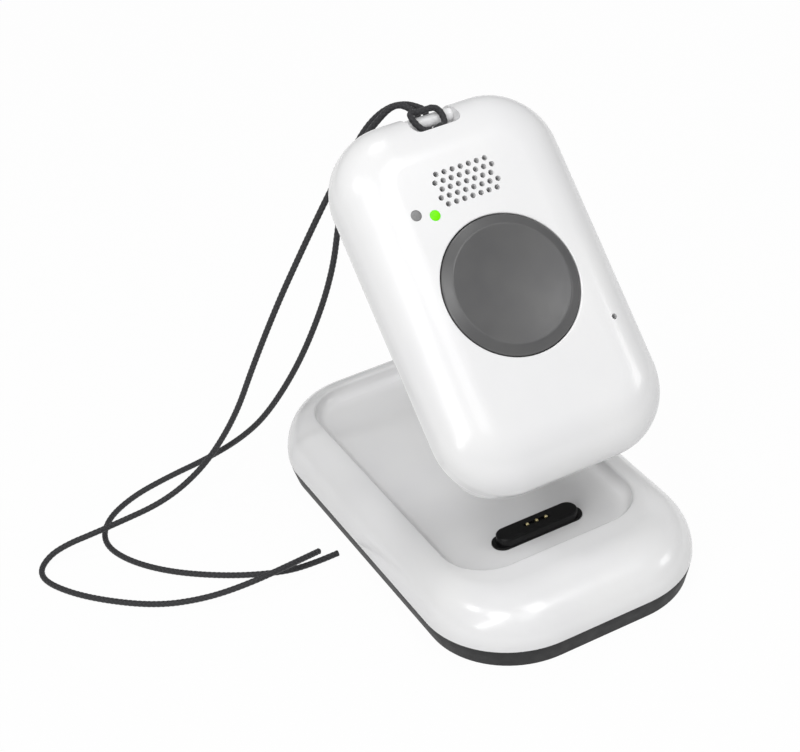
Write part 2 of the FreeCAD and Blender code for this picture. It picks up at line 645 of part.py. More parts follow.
def lanyard_bar():
    reach = NOTCH_HALF_WIDTH + BAR_SOCKET
    return Part.makeCylinder(BAR_RADIUS, 2 * reach, Vector(-reach, BAR_Y, BAR_Z),
                             Vector(1, 0, 0))


def bar_sockets():
    reach = NOTCH_HALF_WIDTH + BAR_SOCKET + FIT_GAP
    return Part.makeCylinder(BAR_RADIUS + SLIDE_GAP, 2 * reach, Vector(-reach, BAR_Y, BAR_Z),
                             Vector(1, 0, 0))


def pendant_front_shell():
    outer = front_crown(0, CASE_SEAM_Z, PENDANT_THICK)
    hollow = front_crown(CASE_WALL, CASE_SEAM_Z, FACE_INSIDE_Z)
    hollow = hollow.cut(notch(NOTCH_WALL, CASE_SEAM_Z, PENDANT_THICK))
    shell = outer.cut(hollow)
    boss_low = BACK_WALL + FIT_GAP
    for x, y in pendant_screw_places():
        upper = cylinder(PENDANT_BOSS_RADIUS, x, y, CASE_SEAM_Z, PENDANT_THICK).common(outer)
        lower = cylinder(PENDANT_BOSS_RADIUS, x, y, boss_low, CASE_SEAM_Z)
        shell = shell.fuse(upper).fuse(lower)
        shell = shell.cut(cylinder(SCREW_RADIUS, x, y, boss_low,
                                   PENDANT_SCREW_LENGTH + SCREW_HEAD_HEIGHT))
    high = PENDANT_THICK + PAST
    shell = shell.cut(notch(0, 0, high))
    shell = shell.cut(bar_sockets())
    shell = shell.cut(cylinder(BUTTON_HOLE_RADIUS, 0, BUTTON_Y, CASE_SEAM_Z, high))
    cuts = [cylinder(HOLE_RADIUS, x, y, FACE_INSIDE_Z - PAST, high) for x, y in grid_places()]
    cuts += [cylinder(WINDOW_RADIUS + SLIDE_GAP, x, y, FACE_INSIDE_Z - PAST, high)
             for x, y in WINDOW_PLACES]
    cuts.append(cylinder(MIC_HOLE_RADIUS, MIC_X, MIC_Y, FRONT_ROUND_Z, high))
    return shell.cut(Part.makeCompound(cuts)).removeSplitter()


def contact_places():
    return [(x, CONTACT_Y) for _, x in pin_places()]


def back_cover_form():
    """The rounded back, the plateau that stands out of it and the tongue inside the front shell."""
    half_width = PENDANT_WIDTH / 2
    half_length = PENDANT_LENGTH / 2
    form = crown(half_width, -half_length, half_length, PENDANT_CORNER, 0, SEAM_LAND,
                 BACK_ROUND_HEIGHT, even(BACK_ROUND))
    form.rotate(Vector(0, 0, 0), Vector(0, 1, 0), 180)
    form.translate(Vector(0, 0, CASE_SEAM_Z))
    plateau = slab(PLATEAU_HALF_WIDTH, -PLATEAU_HALF_LENGTH, PLATEAU_HALF_LENGTH,
                   PLATEAU_CORNER, 0, CASE_SEAM_Z)
    form = form.fuse(plateau.makeFillet(PLATEAU_EDGE, select_edges(plateau, 0)))
    inset = TONGUE_INSET
    return form.fuse(slab(half_width - inset, inset - half_length, half_length - inset,
                          PENDANT_CORNER - inset, CASE_SEAM_Z - BACK_WALL,
                          CASE_SEAM_Z + TONGUE_HEIGHT))


def back_cover_hollow():
    """The space inside the back cover, less the walls round the notch and the charging pocket."""
    high = CASE_SEAM_Z + TONGUE_HEIGHT + PAST
    inset = CASE_INSIDE_INSET
    hollow = slab(PENDANT_WIDTH / 2 - inset, inset - PENDANT_LENGTH / 2,
                  PENDANT_LENGTH / 2 - inset, PENDANT_CORNER - inset,
                  CASE_SEAM_Z - BACK_WALL, high)
    hollow = hollow.fuse(slab(PLATEAU_HALF_WIDTH - BACK_WALL, BACK_WALL - PLATEAU_HALF_LENGTH,
                              PLATEAU_HALF_LENGTH - BACK_WALL, PLATEAU_CORNER - BACK_WALL,
                              BACK_WALL, CASE_SEAM_Z))
    hollow = hollow.cut(notch(NOTCH_WALL, 0, high))
    return hollow.cut(pill(POCKET_HALF_LENGTH + BACK_WALL, POCKET_HALF_WIDTH + BACK_WALL,
                           CONTACT_Y, 0, POCKET_ROOF_Z))


def pendant_back_cover():
    cover = back_cover_form().cut(back_cover_hollow()).cut(seal_groove(0))
    cover = cover.cut(pill(POCKET_HALF_LENGTH, POCKET_HALF_WIDTH, CONTACT_Y, 0, CONTACT_Z))
    for x, y in contact_places():
        cover = cover.cut(cylinder(CONTACT_RADIUS + SLIDE_GAP, x, y, 0,
                                   CONTACT_Z + CONTACT_THICK))
        cover = cover.cut(cylinder(CONTACT_STEM + SLIDE_GAP, x, y, 0, POCKET_ROOF_Z))
    for x, y in pendant_screw_places():
        cover = cover.cut(cylinder(SCREW_RADIUS + FIT_GAP, x, y, 0, BACK_WALL))
        cover = cover.cut(cylinder(SCREW_HEAD_RADIUS + FIT_GAP, x, y, 0, SCREW_HEAD_HEIGHT))
    cover = cover.cut(notch(0, -PAST, PENDANT_THICK))
    front_notch = notch(NOTCH_WALL + FIT_GAP, CASE_SEAM_Z, PENDANT_THICK)
    return cover.cut(front_notch).removeSplitter()


def ring_slab(outer_inset, width, low_z, high_z):
    """A closed band that follows the pendant's outline."""
    half_width = PENDANT_WIDTH / 2
    half_length = PENDANT_LENGTH / 2
    bands = []
    for inset in (outer_inset, outer_inset + width):
        bands.append(slab(half_width - inset, inset - half_length, half_length - inset,
                          PENDANT_CORNER - inset, low_z, high_z))
    return bands[0].cut(bands[1])


def seal_groove(gap):
    """The groove in the back cover's edge, or with gap the gasket that fills it."""
    inset = (CASE_WALL - SEAL_WIDTH) / 2
    ring = ring_slab(inset + gap, SEAL_WIDTH - 2 * gap, CASE_SEAM_Z - SEAL_DEPTH, CASE_SEAM_Z)
    return ring.cut(notch(SEAL_NOTCH_GAP, 0, PENDANT_THICK))


def pendant_seal():
    return seal_groove(SLIDE_GAP)


# Help button and switch

def help_button():
    """A round cap with a sloped edge and a shallow dish, held by a flange inside the shell."""
    rim_z = PENDANT_THICK + BUTTON_RISE
    dish_z = rim_z - BUTTON_DISH
    dish_radius = (BUTTON_RIM_RADIUS ** 2 + BUTTON_DISH ** 2) / (2 * BUTTON_DISH)
    skin_z = dish_z - BUTTON_SKIN
    wall_radius = BUTTON_RIM_RADIUS - BUTTON_SKIN
    profile = [
        Vector(0, 0, skin_z),
        Vector(wall_radius, 0, skin_z),
        Vector(wall_radius, 0, FLANGE_BOTTOM_Z),
        Vector(FLANGE_RADIUS, 0, FLANGE_BOTTOM_Z),
        Vector(FLANGE_RADIUS, 0, FLANGE_TOP_Z),
        Vector(BUTTON_RADIUS, 0, FLANGE_TOP_Z),
        Vector(BUTTON_RADIUS, 0, PENDANT_THICK),
        Vector(BUTTON_RIM_RADIUS, 0, rim_z),
    ]
    edges = [Part.LineSegment(a, b).toShape() for a, b in zip(profile, profile[1:])]
    half = BUTTON_RIM_RADIUS / 2
    sag = dish_radius - math.sqrt(dish_radius ** 2 - half ** 2)
    edges.append(Part.Arc(profile[-1], Vector(half, 0, dish_z + sag),
                          Vector(0, 0, dish_z)).toShape())
    edges.append(Part.LineSegment(Vector(0, 0, dish_z), profile[0]).toShape())
    cap = Part.Face(Part.Wire(edges)).revolve(Vector(0, 0, 0), UP, 360)
    cap.translate(Vector(0, BUTTON_Y, 0))
    stem = cylinder(STEM_RADIUS, 0, BUTTON_Y, PLUNGER_TOP_Z + FIT_GAP, skin_z + BUTTON_SKIN / 2)
    return cap.fuse(stem).removeSplitter()


def help_button_boot():
    """A silicone ring between the board and the flange: it seals the hole and lifts the button."""
    mean = FLANGE_RADIUS - BOOT_WALL
    low = PENDANT_BOARD_TOP
    high = FLANGE_BOTTOM_Z
    outer = cylinder(mean + BOOT_WALL / 2, 0, BUTTON_Y, low, high)
    foot = cylinder(mean + BOOT_WALL, 0, BUTTON_Y, low, low + BOOT_WALL)
    inner = cylinder(mean - BOOT_WALL / 2, 0, BUTTON_Y, low, high)
    return outer.fuse(foot).cut(inner).removeSplitter()


def help_switch():
    body = block((-SWITCH_HALF, BUTTON_Y - SWITCH_HALF, PENDANT_BOARD_TOP),
                 (SWITCH_HALF, BUTTON_Y + SWITCH_HALF, SWITCH_TOP_Z))
    well = cylinder(SWITCH_PLUNGER_RADIUS + SLIDE_GAP, 0, BUTTON_Y,
                    SWITCH_TOP_Z - SWITCH_PLUNGER_HEIGHT, SWITCH_TOP_Z)
    return body.cut(well)


def help_switch_plunger():
    low = SWITCH_TOP_Z - SWITCH_PLUNGER_HEIGHT + BUTTON_TRAVEL + FIT_GAP
    return cylinder(SWITCH_PLUNGER_RADIUS, 0, BUTTON_Y, low, PLUNGER_TOP_Z)


# Pendant electronics

def pendant_circuit_board():
    board = slab(PENDANT_BOARD_HALF_WIDTH, PENDANT_BOARD_BACK_Y, PENDANT_BOARD_TOP_Y,
                 PENDANT_BOARD_CORNER, PENDANT_BOARD_Z, PENDANT_BOARD_TOP)
    for x, y in pendant_screw_places():
        board = board.cut(cylinder(PENDANT_BOSS_RADIUS + FIT_GAP, x, y, PENDANT_BOARD_Z,
                                   PENDANT_BOARD_TOP))
    return board


def inside_front(shape):
    """What of a shape lies clear of the front shell's inner wall."""
    return shape.common(front_crown(TONGUE_INSET, CASE_SEAM_Z, FACE_INSIDE_Z))


def speaker_outline(low_z, high_z):
    return slab(SPEAKER_HALF_WIDTH, GRID_Y - SPEAKER_HALF_LENGTH, GRID_Y + SPEAKER_HALF_LENGTH,
                SPEAKER_CORNER, low_z, high_z)


def speaker():
    """A flat box speaker against the inside of its mesh, on a foot down to the board."""
    high = FACE_INSIDE_Z - MESH_THICK
    low = high - SPEAKER_HEIGHT
    foot = SPEAKER_FOOT_HALF
    return inside_front(speaker_outline(low, high)).fuse(
        block((-foot, GRID_Y - foot, PENDANT_BOARD_TOP), (foot, GRID_Y + foot, low)))


def speaker_mesh():
    return inside_front(speaker_outline(FACE_INSIDE_Z - MESH_THICK, FACE_INSIDE_Z))


def status_window(x, y):
    """A clear rod that carries the light from the board to the face."""
    return cylinder(WINDOW_RADIUS, x, y, PENDANT_BOARD_TOP + LED_HEIGHT + FIT_GAP, PENDANT_THICK)


def status_leds():
    return joined([soldered((x, y, 2 * LED_HALF, 2 * LED_HALF, LED_HEIGHT), PENDANT_BOARD_TOP)
                   for x, y in WINDOW_PLACES])


def microphone():
    return soldered((MIC_X, MIC_Y, 2 * MIC_HALF, 2 * MIC_HALF, MIC_HEIGHT), PENDANT_BOARD_TOP)


def microphone_boot():
    """A soft tube from the microphone up to the hole in the shell."""
    low = PENDANT_BOARD_TOP + MIC_HEIGHT
    tube = cylinder(MIC_BOOT_RADIUS, MIC_X, MIC_Y, low, PENDANT_THICK)
    tube = tube.common(front_crown(TONGUE_INSET, CASE_SEAM_Z, FACE_INSIDE_Z - FIT_GAP))
    return tube.cut(cylinder(MIC_HOLE_RADIUS, MIC_X, MIC_Y, low, PENDANT_THICK))


def cell_modem():
    """The radio module under its soldered metal can."""
    can = soldered(MODEM, PENDANT_BOARD_TOP)
    return can.makeFillet(MODEM_EDGE, select_edges(can, can.BoundBox.ZMax))


def satellite_antenna():
    """A ceramic patch antenna with its feed pin in the middle."""
    x, y, _, _, height = SATELLITE_PATCH
    top = PENDANT_BOARD_TOP + height
    patch = soldered(SATELLITE_PATCH, PENDANT_BOARD_TOP)
    return patch.fuse(cylinder(FEED_PIN_RADIUS, x, y, top, top + FEED_PIN_HEIGHT))


def cell_antenna():
    y = PENDANT_BOARD_TOP_Y - CELL_ANTENNA_SETBACK
    return soldered((0, y) + CELL_ANTENNA_SIZE, PENDANT_BOARD_TOP)


def battery():
    low = BACK_WALL + FIT_GAP
    high = low + BATTERY_THICK
    cell = slab(BATTERY_HALF_WIDTH, BATTERY_LOW_Y, BATTERY_HIGH_Y, BATTERY_CORNER, low, high)
    return cell.makeFillet(BATTERY_EDGE, select_edges(cell, high))


def charge_contacts():
    """Three gold pads, each on a stem that reaches the board."""
    contacts = []
    for x, y in contact_places():
        pad = cylinder(CONTACT_RADIUS, x, y, CONTACT_Z, CONTACT_Z + CONTACT_THICK)
        contacts.append(pad.fuse(cylinder(CONTACT_STEM, x, y, CONTACT_Z, PENDANT_BOARD_Z)))
    return joined(contacts)


def pendant_magnets():
    return joined([cylinder(MAGNET_RADIUS, x, CONTACT_Y, BACK_WALL, BACK_WALL + MAGNET_THICK)
                   for x in (-MAGNET_X, MAGNET_X)])


def pendant_screws():
    return joined([screw(x, y, 0, PENDANT_SCREW_LENGTH) for x, y in pendant_screw_places()])


# Cord

def cord_path(points, show=None):
    """Straight runs joined by tangent arcs, each as large as its two runs allow."""
    edges = []
    start = points[0]
    radii = []
    for before, corner, after in zip(points, points[1:], points[2:]):
        to_before = before.sub(corner)
        to_after = after.sub(corner)
        half_turn = (math.pi - to_before.getAngle(to_after)) / 2
        cut_back = ARC_SHARE * min(to_before.Length, to_after.Length)
        radii.append(cut_back / math.tan(half_turn))
        to_before.normalize()
        to_after.normalize()
        first = corner.add(to_before.multiply(cut_back))
        last = corner.add(Vector(to_after).multiply(cut_back))
        inwards = first.add(last).multiply(0.5).sub(corner)
        inwards.normalize()
        reach = radii[-1] / math.cos(half_turn) - radii[-1]
        middle = corner.add(inwards.multiply(reach))
        edges.append(Part.LineSegment(start, first).toShape())
        edges.append(Part.Arc(first, middle, last).toShape())
        start = last
    edges.append(Part.LineSegment(start, points[-1]).toShape())
    if show:
        length = sum(e.Length for e in edges)
        print(show, "length", round(length, 1), "radii", [round(r, 1) for r in radii])
    return Part.Wire(edges)


def tube(path):
    """A round cord along a path."""
    first = path.Edges[0]
    heading = first.tangentAt(first.FirstParameter)
    section = Part.Wire(Part.makeCircle(CORD_RADIUS, path.Edges[0].Vertexes[0].Point, heading))
    return path.makePipeShell([section], True, True)


def leg_ends():
    """Where the two legs of the hitch end, behind the bar: right, then left."""
    z = BAR_Z - BAR_RADIUS - SLIDE_GAP - CORD_RADIUS
    return [Vector(side * LEG_SPACING / 2, LEG_END_Y, z) for side in (1, -1)]


def lanyard_hitch():
    """One cord: down the right leg behind the bar, a loop over its front, back up the left."""
    front_z = BAR_Z + BAR_RADIUS + SLIDE_GAP + CORD_RADIUS
    fold_y = NOTCH_BOTTOM_Y + SLIDE_GAP + CORD_RADIUS
    right, left = leg_ends()
    points = [right, Vector(right.x, fold_y, right.z), Vector(right.x, fold_y, front_z)]
    points += [Vector(x, fold_y + y, front_z) for x, y in HITCH_LOOP]
    points += [Vector(left.x, fold_y, front_z), Vector(left.x, fold_y, left.z), left]
    return tube(cord_path(points, "lanyard_hitch"))


def strand(leg_end, route, name):
    lead_end = leg_end.add(Vector(0, CORD_LEAD, 0))
    points = [HOVER.multVec(leg_end), HOVER.multVec(lead_end)] + [Vector(*p) for p in route]
    path = cord_path(points, name)
    solid = tube(path)
    expected = math.pi * CORD_RADIUS ** 2 * path.Length
    print(name, "volume over section times length", round(solid.Volume / expected, 4))
    return solid


# The swing that lays the pendant into the cradle

def swing_axis():
    """The one line about which the lifted pendant turns down into its seat."""
    held = HOVER.Base
    seated = SEATED.Base
    half = math.radians(TILT) / 2
    shift = held.sub(seated)
    middle = held.add(seated).multiply(0.5)
    sideways = Vector(0, -shift.z, shift.y).multiply(0.5 / math.tan(half))
    return middle.add(sideways)


def build_cradle():
    save(cradle_top_shell(), "cradle_top_shell")
    save(cradle_base(), "cradle_base")
    save(cradle_foot_pad(), "cradle_foot_pad")
    save(cradle_ballast_plate(), "cradle_ballast_plate")
    save(cradle_screws(), "cradle_screws")
    save(cradle_circuit_board(), "cradle_circuit_board")
    save(cradle_board_parts(), "cradle_board_parts")
    save(cradle_power_inlet(), "cradle_power_inlet")
    save(charging_connector(), "charging_connector")
    save(pogo_barrels(), "pogo_barrels")
    save(cradle_magnets(), "cradle_magnets")
    for name, x in pin_places():
        save(pogo_pin(x), "pogo_pin_" + name)
        save(pogo_spring(x), "pogo_spring_" + name)


def build_pendant():
    pieces = {
        "pendant_front_shell": pendant_front_shell(),
        "pendant_back_cover": pendant_back_cover(),
        "pendant_seal": pendant_seal(),
        "lanyard_bar": lanyard_bar(),
        "help_button": help_button(),
        "help_button_boot": help_button_boot(),
        "help_switch": help_switch(),
        "help_switch_plunger": help_switch_plunger(),
        "pendant_circuit_board": pendant_circuit_board(),
        "speaker": speaker(),
        "speaker_mesh": speaker_mesh(),
        "status_leds": status_leds(),
        "microphone": microphone(),
        "microphone_boot": microphone_boot(),
        "cell_modem": cell_modem(),
        "satellite_antenna": satellite_antenna(),
        "cell_antenna": cell_antenna(),
        "battery": battery(),
        "charge_contacts": charge_contacts(),
        "pendant_magnets": pendant_magnets(),
        "pendant_screws": pendant_screws(),
        "lanyard_hitch": lanyard_hitch(),
    }
    for name, (x, y) in zip(WINDOW_NAMES, WINDOW_PLACES):
        pieces[name] = status_window(x, y)
    for name, shape in pieces.items():
        shape.Placement = HOVER.multiply(shape.Placement)
        save(shape, name)


def build_strands():
    right, left = leg_ends()
    save(strand(right, LONG_STRAND_ROUTE, "lanyard_long_strand"), "lanyard_long_strand")
    save(strand(left, SHORT_STRAND_ROUTE, "lanyard_short_strand"), "lanyard_short_strand")


os.makedirs("parts", exist_ok=True)
build_cradle()
build_pendant()
build_strands()
axis = swing_axis()
print("swing axis y, z:", round(axis.y, 3), round(axis.z, 3))
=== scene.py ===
# %% [markdown]
# # A help-button pendant over its charging cradle
# The cradle stands on a table, and the pendant is held up over it, tilted back, with its neck cord
# hanging down beside it. Sizes here are in millimetres, and `MM` turns them into Blender's metres.
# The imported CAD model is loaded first: it says where every piece goes, and nothing here moves it.

# %% Load the frame
import math

import bmesh
import bpy
from mathutils import Matrix, Vector


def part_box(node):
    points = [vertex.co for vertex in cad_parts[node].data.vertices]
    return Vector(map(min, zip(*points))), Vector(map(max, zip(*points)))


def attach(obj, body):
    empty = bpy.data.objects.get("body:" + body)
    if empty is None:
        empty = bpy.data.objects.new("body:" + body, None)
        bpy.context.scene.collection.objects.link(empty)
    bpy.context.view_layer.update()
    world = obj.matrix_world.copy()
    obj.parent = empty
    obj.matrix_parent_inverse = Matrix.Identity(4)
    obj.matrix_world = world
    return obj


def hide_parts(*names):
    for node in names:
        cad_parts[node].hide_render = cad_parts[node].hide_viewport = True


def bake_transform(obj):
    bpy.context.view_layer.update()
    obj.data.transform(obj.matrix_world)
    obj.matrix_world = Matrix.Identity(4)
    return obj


MM = 0.001
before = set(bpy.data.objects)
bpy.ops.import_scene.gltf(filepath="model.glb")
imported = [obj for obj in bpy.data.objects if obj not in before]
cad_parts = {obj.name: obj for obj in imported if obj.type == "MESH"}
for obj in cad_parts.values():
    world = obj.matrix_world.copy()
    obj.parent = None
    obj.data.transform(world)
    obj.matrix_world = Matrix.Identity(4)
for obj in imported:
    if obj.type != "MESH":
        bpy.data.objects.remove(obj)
bpy.context.view_layer.update()

# %% [markdown]
# ## Camera
# A long lens keeps the sides of the pendant nearly parallel. The camera looks down at 34 degrees
# from the front left and leans a little to one side.

# %% Camera
def new_object(name, data):
    """An object in the scene, at its origin."""
    made = bpy.data.objects.new(name, data)
    bpy.context.scene.collection.objects.link(made)
    return made


eye = Vector((-137.63, -268.31, 237.23)) * MM
across = Vector((0.8769, -0.4716, -0.0925)).normalized()
backwards = Vector((-0.3461, -0.7533, 0.5592)).normalized()
upwards = backwards.cross(across).normalized()
across = upwards.cross(backwards)
camera_data = bpy.data.cameras.new("camera")
camera_data.lens = 87.55
camera_data.clip_start = 10 * MM
camera = new_object("camera", camera_data)
axes = Matrix((across, upwards, backwards)).transposed().to_4x4()
camera.matrix_world = Matrix.Translation(eye) @ axes
bpy.context.scene.camera = camera
bpy.context.scene.view_settings.view_transform = "Standard"
print("camera", round(eye.length, 3), "m from the middle of the cradle's foot")

# %% [markdown]
# ## Colours and nodes
# Every colour is written as the sRGB hex value a designer would name, and one function turns it
# into the linear numbers that shaders use. Another one adds any kind of node with its settings and
# links. On top of both, `surface` builds what most real surfaces share: a colour and a gloss that
# drift from place to place, and a fine relief, each with the size that its pattern really has.

# %% Helpers for materials
NOISE_LOW, NOISE_HIGH = 0.3, 0.7  # nearly all values of a noise texture lie between these


def colour(hex_value):
    """sRGB hex, such as 'f4f4f2', as linear RGBA."""
    parts = [int(hex_value[i:i + 2], 16) / 255 for i in (0, 2, 4)]
    linear = [c / 12.92 if c <= 0.04045 else ((c + 0.055) / 1.055) ** 2.4 for c in parts]
    return (*linear, 1.0)


def add(tree, kind, inputs=None, **settings):
    """Adds a node. inputs maps a socket's name or number to a value, to another node's output, or
    to another node, of which the first output is taken."""
    new = tree.nodes.new(kind)
    for name, value in settings.items():
        setattr(new, name, value)
    for key, value in (inputs or {}).items():
        if isinstance(value, bpy.types.Node):
            value = value.outputs[0]
        if isinstance(value, bpy.types.NodeSocket):
            tree.links.new(value, new.inputs[key])
        else:
            new.inputs[key].default_value = value
    return new


def empty_tree(owner):
    """The node tree of a material or a world, with nothing in it."""
    owner.use_nodes = True
    owner.node_tree.nodes.clear()
    return owner.node_tree


def new_material(name, **fixed):
    """A material with one Principled shader; fixed values go straight on to its sockets."""
    material = bpy.data.materials.new(name)
    tree = empty_tree(material)
    shader = add(tree, "ShaderNodeBsdfPrincipled", fixed)
    add(tree, "ShaderNodeOutputMaterial", {"Surface": shader})
    print("material", name)
    return material, tree, shader


def grain(tree, size_mm, detail=2.0):
    """Noise whose blotches are about size_mm across, on Object coordinates."""
    source = add(tree, "ShaderNodeTexCoord").outputs["Object"]
    return add(tree, "ShaderNodeTexNoise",
               {"Vector": source, "Scale": 1 / (size_mm * MM), "Detail": detail})


def vary(tree, shader, socket, pattern, low, high):
    """Lets a pattern carry one of the shader's inputs from low to high: numbers, or hex colours."""
    coloured = isinstance(low, str)
    start, end = (0, 1) if coloured else (low, high)
    result = add(tree, "ShaderNodeMapRange",
                 {"Value": pattern, "From Min": NOISE_LOW, "From Max": NOISE_HIGH,
                  "To Min": start, "To Max": end}).outputs["Result"]
    if coloured:
        result = add(tree, "ShaderNodeMix", {0: result, 6: colour(low), 7: colour(high)},
                     data_type="RGBA").outputs[2]
    tree.links.new(result, shader.inputs[socket])


def relief(tree, shader, height, depth_mm, strength):
    """Feeds a height pattern to the shader's normal."""
    bump = add(tree, "ShaderNodeBump",
               {"Height": height, "Distance": depth_mm * MM, "Strength": strength})
    tree.links.new(bump.outputs["Normal"], shader.inputs["Normal"])


def surface(name, colours, gloss, height=None, **fixed):
    """A finish of noise. colours and gloss are (low, high, size in mm, detail), and height is
    (depth in mm, size in mm, detail, strength)."""
    material, tree, shader = new_material(name, **fixed)
    for socket, (low, high, size, detail) in (("Base Color", colours), ("Roughness", gloss)):
        vary(tree, shader, socket, grain(tree, size, detail), low, high)
    if height:
        depth, size, detail, strength = height
        relief(tree, shader, grain(tree, size, detail), depth, strength)
    return material


# %% [markdown]
# ## Neck cord
# The cord is a limp, braided polyester cord of 1.2 mm. It is folded in half, hitched round the
# pendant's bar, and both strands fall over the pendant's shoulder to the table and loop there.
# Each strand's centre line is one NURBS spline of order 3: it runs smoothly past its control
# points. A Geometry Nodes tree then sweeps a round section along that line and lifts the yarns of
# the braid out of it, so that the braid keeps its pitch however the cord bends.

# %% Routes of the cord
HELD_Y, HELD_Z, HELD_TILT = -7.09, 51.88, 47
held_at = Matrix.Translation((0, HELD_Y * MM, HELD_Z * MM))
HOLD = held_at @ Matrix.Rotation(math.radians(HELD_TILT), 4, "X")
CORD = 1.2
BAR_Y, BAR_Z, BAR_RADIUS = 32.5, 9.4, 1.2
FOLD_Y = 30.55
LEG_X, LEG_Z = 0.75, 7.55
LOOP_Z = 11.25
# A strand and the end of the hitch that it leaves share these points, so the two meet in one line.
long_start = [(0.96, 35.58, 7.45), (0.39, 36.49, 6.77)]
short_start = [(-0.68, 35.59, 7.5), (-1.17, 36.51, 7.13)]

hitch_route = [long_start[0], (1.45, 34.8, 8.0), (0.8, 33.0, 7.5), (LEG_X, FOLD_Y, LEG_Z),
               (LEG_X, FOLD_Y, LOOP_Z), (2.5, 30.6, LOOP_Z), (2.5, 33.2, LOOP_Z), (1.3, 34.3, LOOP_Z),
               (-1.2, 34.0, LOOP_Z), (-3.3, 34.6, LOOP_Z), (-3.1, 32.6, LOOP_Z), (-2.0, 30.6, LOOP_Z),
               (-LEG_X, FOLD_Y, LOOP_Z), (-LEG_X, FOLD_Y, LEG_Z), (-0.7, 33.0, 7.5), (-0.2, 34.7, 7.9),
               short_start[0]]
long_route = [(-0.7, 14.7, 83.2), (-2.5, 16.6, 82.6), (-4.7, 18.3, 80.8), (-6.9, 19.9, 77.8),
              (-10.2, 20.0, 73.7), (-13.1, 20.4, 69.9), (-16.4, 20.8, 65.1), (-21.4, 21.4, 57.3),
              (-27.4, 22.8, 46.8), (-33.2, 25.2, 34.0), (-37.1, 28.2, 22.6), (-42.6, 31.6, 12.5),
              (-48.6, 32.8, 7.4), (-55.1, 32.4, 5.6), (-62.6, 32.7, 4.8), (-69.0, 32.5, 4.6),
              (-73.7, 34.4, 3.0), (-77.7, 35.1, 1.4), (-81.0, 32.2, 0.7), (-80.3, 27.1, 0.6),
              (-75.0, 18.9, 0.6), (-65.6, 10.0, 0.6), (-57.2, 5.3, 1.6), (-49.7, 0.8, 4.8),
              (-40.3, 1.4, 4.8), (-33.5, 4.2, 2.8)]
short_route = [(-2.2, 14.1, 83.8), (-3.6, 15.3, 83.0), (-5.5, 16.1, 81.1), (-7.2, 17.3, 78.7),
               (-8.9, 18.1, 75.5), (-11.2, 18.4, 71.4), (-13.5, 18.2, 66.9), (-15.2, 18.0, 61.3),
               (-16.9, 18.4, 53.6), (-20.0, 19.8, 44.2), (-25.1, 22.6, 32.2), (-31.0, 27.0, 21.0),
               (-35.5, 31.2, 14.6), (-41.5, 37.2, 8.3), (-48.9, 42.5, 3.5), (-56.6, 44.4, 0.6),
               (-63.7, 40.2, 0.6), (-67.0, 33.7, 0.6), (-65.2, 26.1, 0.6), (-59.6, 17.9, 0.6),
               (-51.2, 10.6, 0.6), (-43.2, 5.9, 0.6), (-36.7, 3.9, 0.6), (-29.7, 4.1, 0.6)]


def in_metres(points, tilt=Matrix()):
    """Points in mm as Blender's metres, with HOLD for points on the tilted pendant."""
    return [tilt @ (Vector(p) * MM) for p in points]


cord_routes = {
    "lanyard_hitch_braid": in_metres(hitch_route, HOLD),
    "lanyard_long_braid": in_metres(long_start, HOLD) + in_metres(long_route),
    "lanyard_short_braid": in_metres(short_start, HOLD) + in_metres(short_route),
}
print({name: len(points) for name, points in cord_routes.items()})

# %% Centre lines of the cord
def as_mesh(piece):
    """A plain mesh of what an object's curve or modifiers give."""
    bpy.context.view_layer.update()
    return bpy.data.meshes.new_from_object(piece.evaluated_get(bpy.context.evaluated_depsgraph_get()))


def centre_line(name, points):
    """The line of edges that a NURBS spline with these control points gives."""
    data = bpy.data.curves.new(name, "CURVE")
    data.dimensions = "3D"
    data.resolution_u = 24
    spline = data.splines.new("NURBS")
    spline.points.add(len(points) - 1)
    for place, point in zip(spline.points, points):
        place.co = (*point, 1)
    spline.order_u = 3
    spline.use_endpoint_u = True
    curve = new_object(name, data)
    line = as_mesh(curve)
    bpy.data.objects.remove(curve)
    return line


def line_length(line):
    """Its length in metres."""
    places = [v.co for v in line.vertices]
    return sum((b - a).length for a, b in zip(places, places[1:]))


cord_lines = {name: centre_line(name + "_line", points) for name, points in cord_routes.items()}
for name, line in cord_lines.items():
    print(name, round(line_length(line) / MM, 1), "mm long")

# %% [markdown]
# The braid itself: eight yarns show side by side round the cord, and each crosses over its
# neighbours every 0.94 mm. Two families of slanted waves, one for each direction that the yarns
# take, are multiplied, and give the cushions that a braid shows.

# %% Helpers for Geometry Nodes
def geometry_tree(name, **numbers):
    """An empty tree with a geometry input and output, a material input and named sizes."""
    tree = bpy.data.node_groups.new(name, "GeometryNodeTree")
    face = tree.interface
    face.new_socket("Geometry", in_out="INPUT", socket_type="NodeSocketGeometry")
    face.new_socket("Material", in_out="INPUT", socket_type="NodeSocketMaterial")
    for label, value in numbers.items():
        kind = "NodeSocketInt" if isinstance(value, int) else "NodeSocketFloat"
        face.new_socket(label, in_out="INPUT", socket_type=kind).default_value = value
    face.new_socket("Geometry", in_out="OUTPUT", socket_type="NodeSocketGeometry")
    print("tree", name, "with", ", ".join(numbers))
    return tree, add(tree, "NodeGroupInput").outputs


def finish_tree(tree, geometry, material):
    """Ends a tree in Realize Instances and Set Material."""
    real = add(tree, "GeometryNodeRealizeInstances", {0: geometry})
    painted = add(tree, "GeometryNodeSetMaterial", {"Geometry": real, "Material": material})
    add(tree, "NodeGroupOutput", {0: painted})


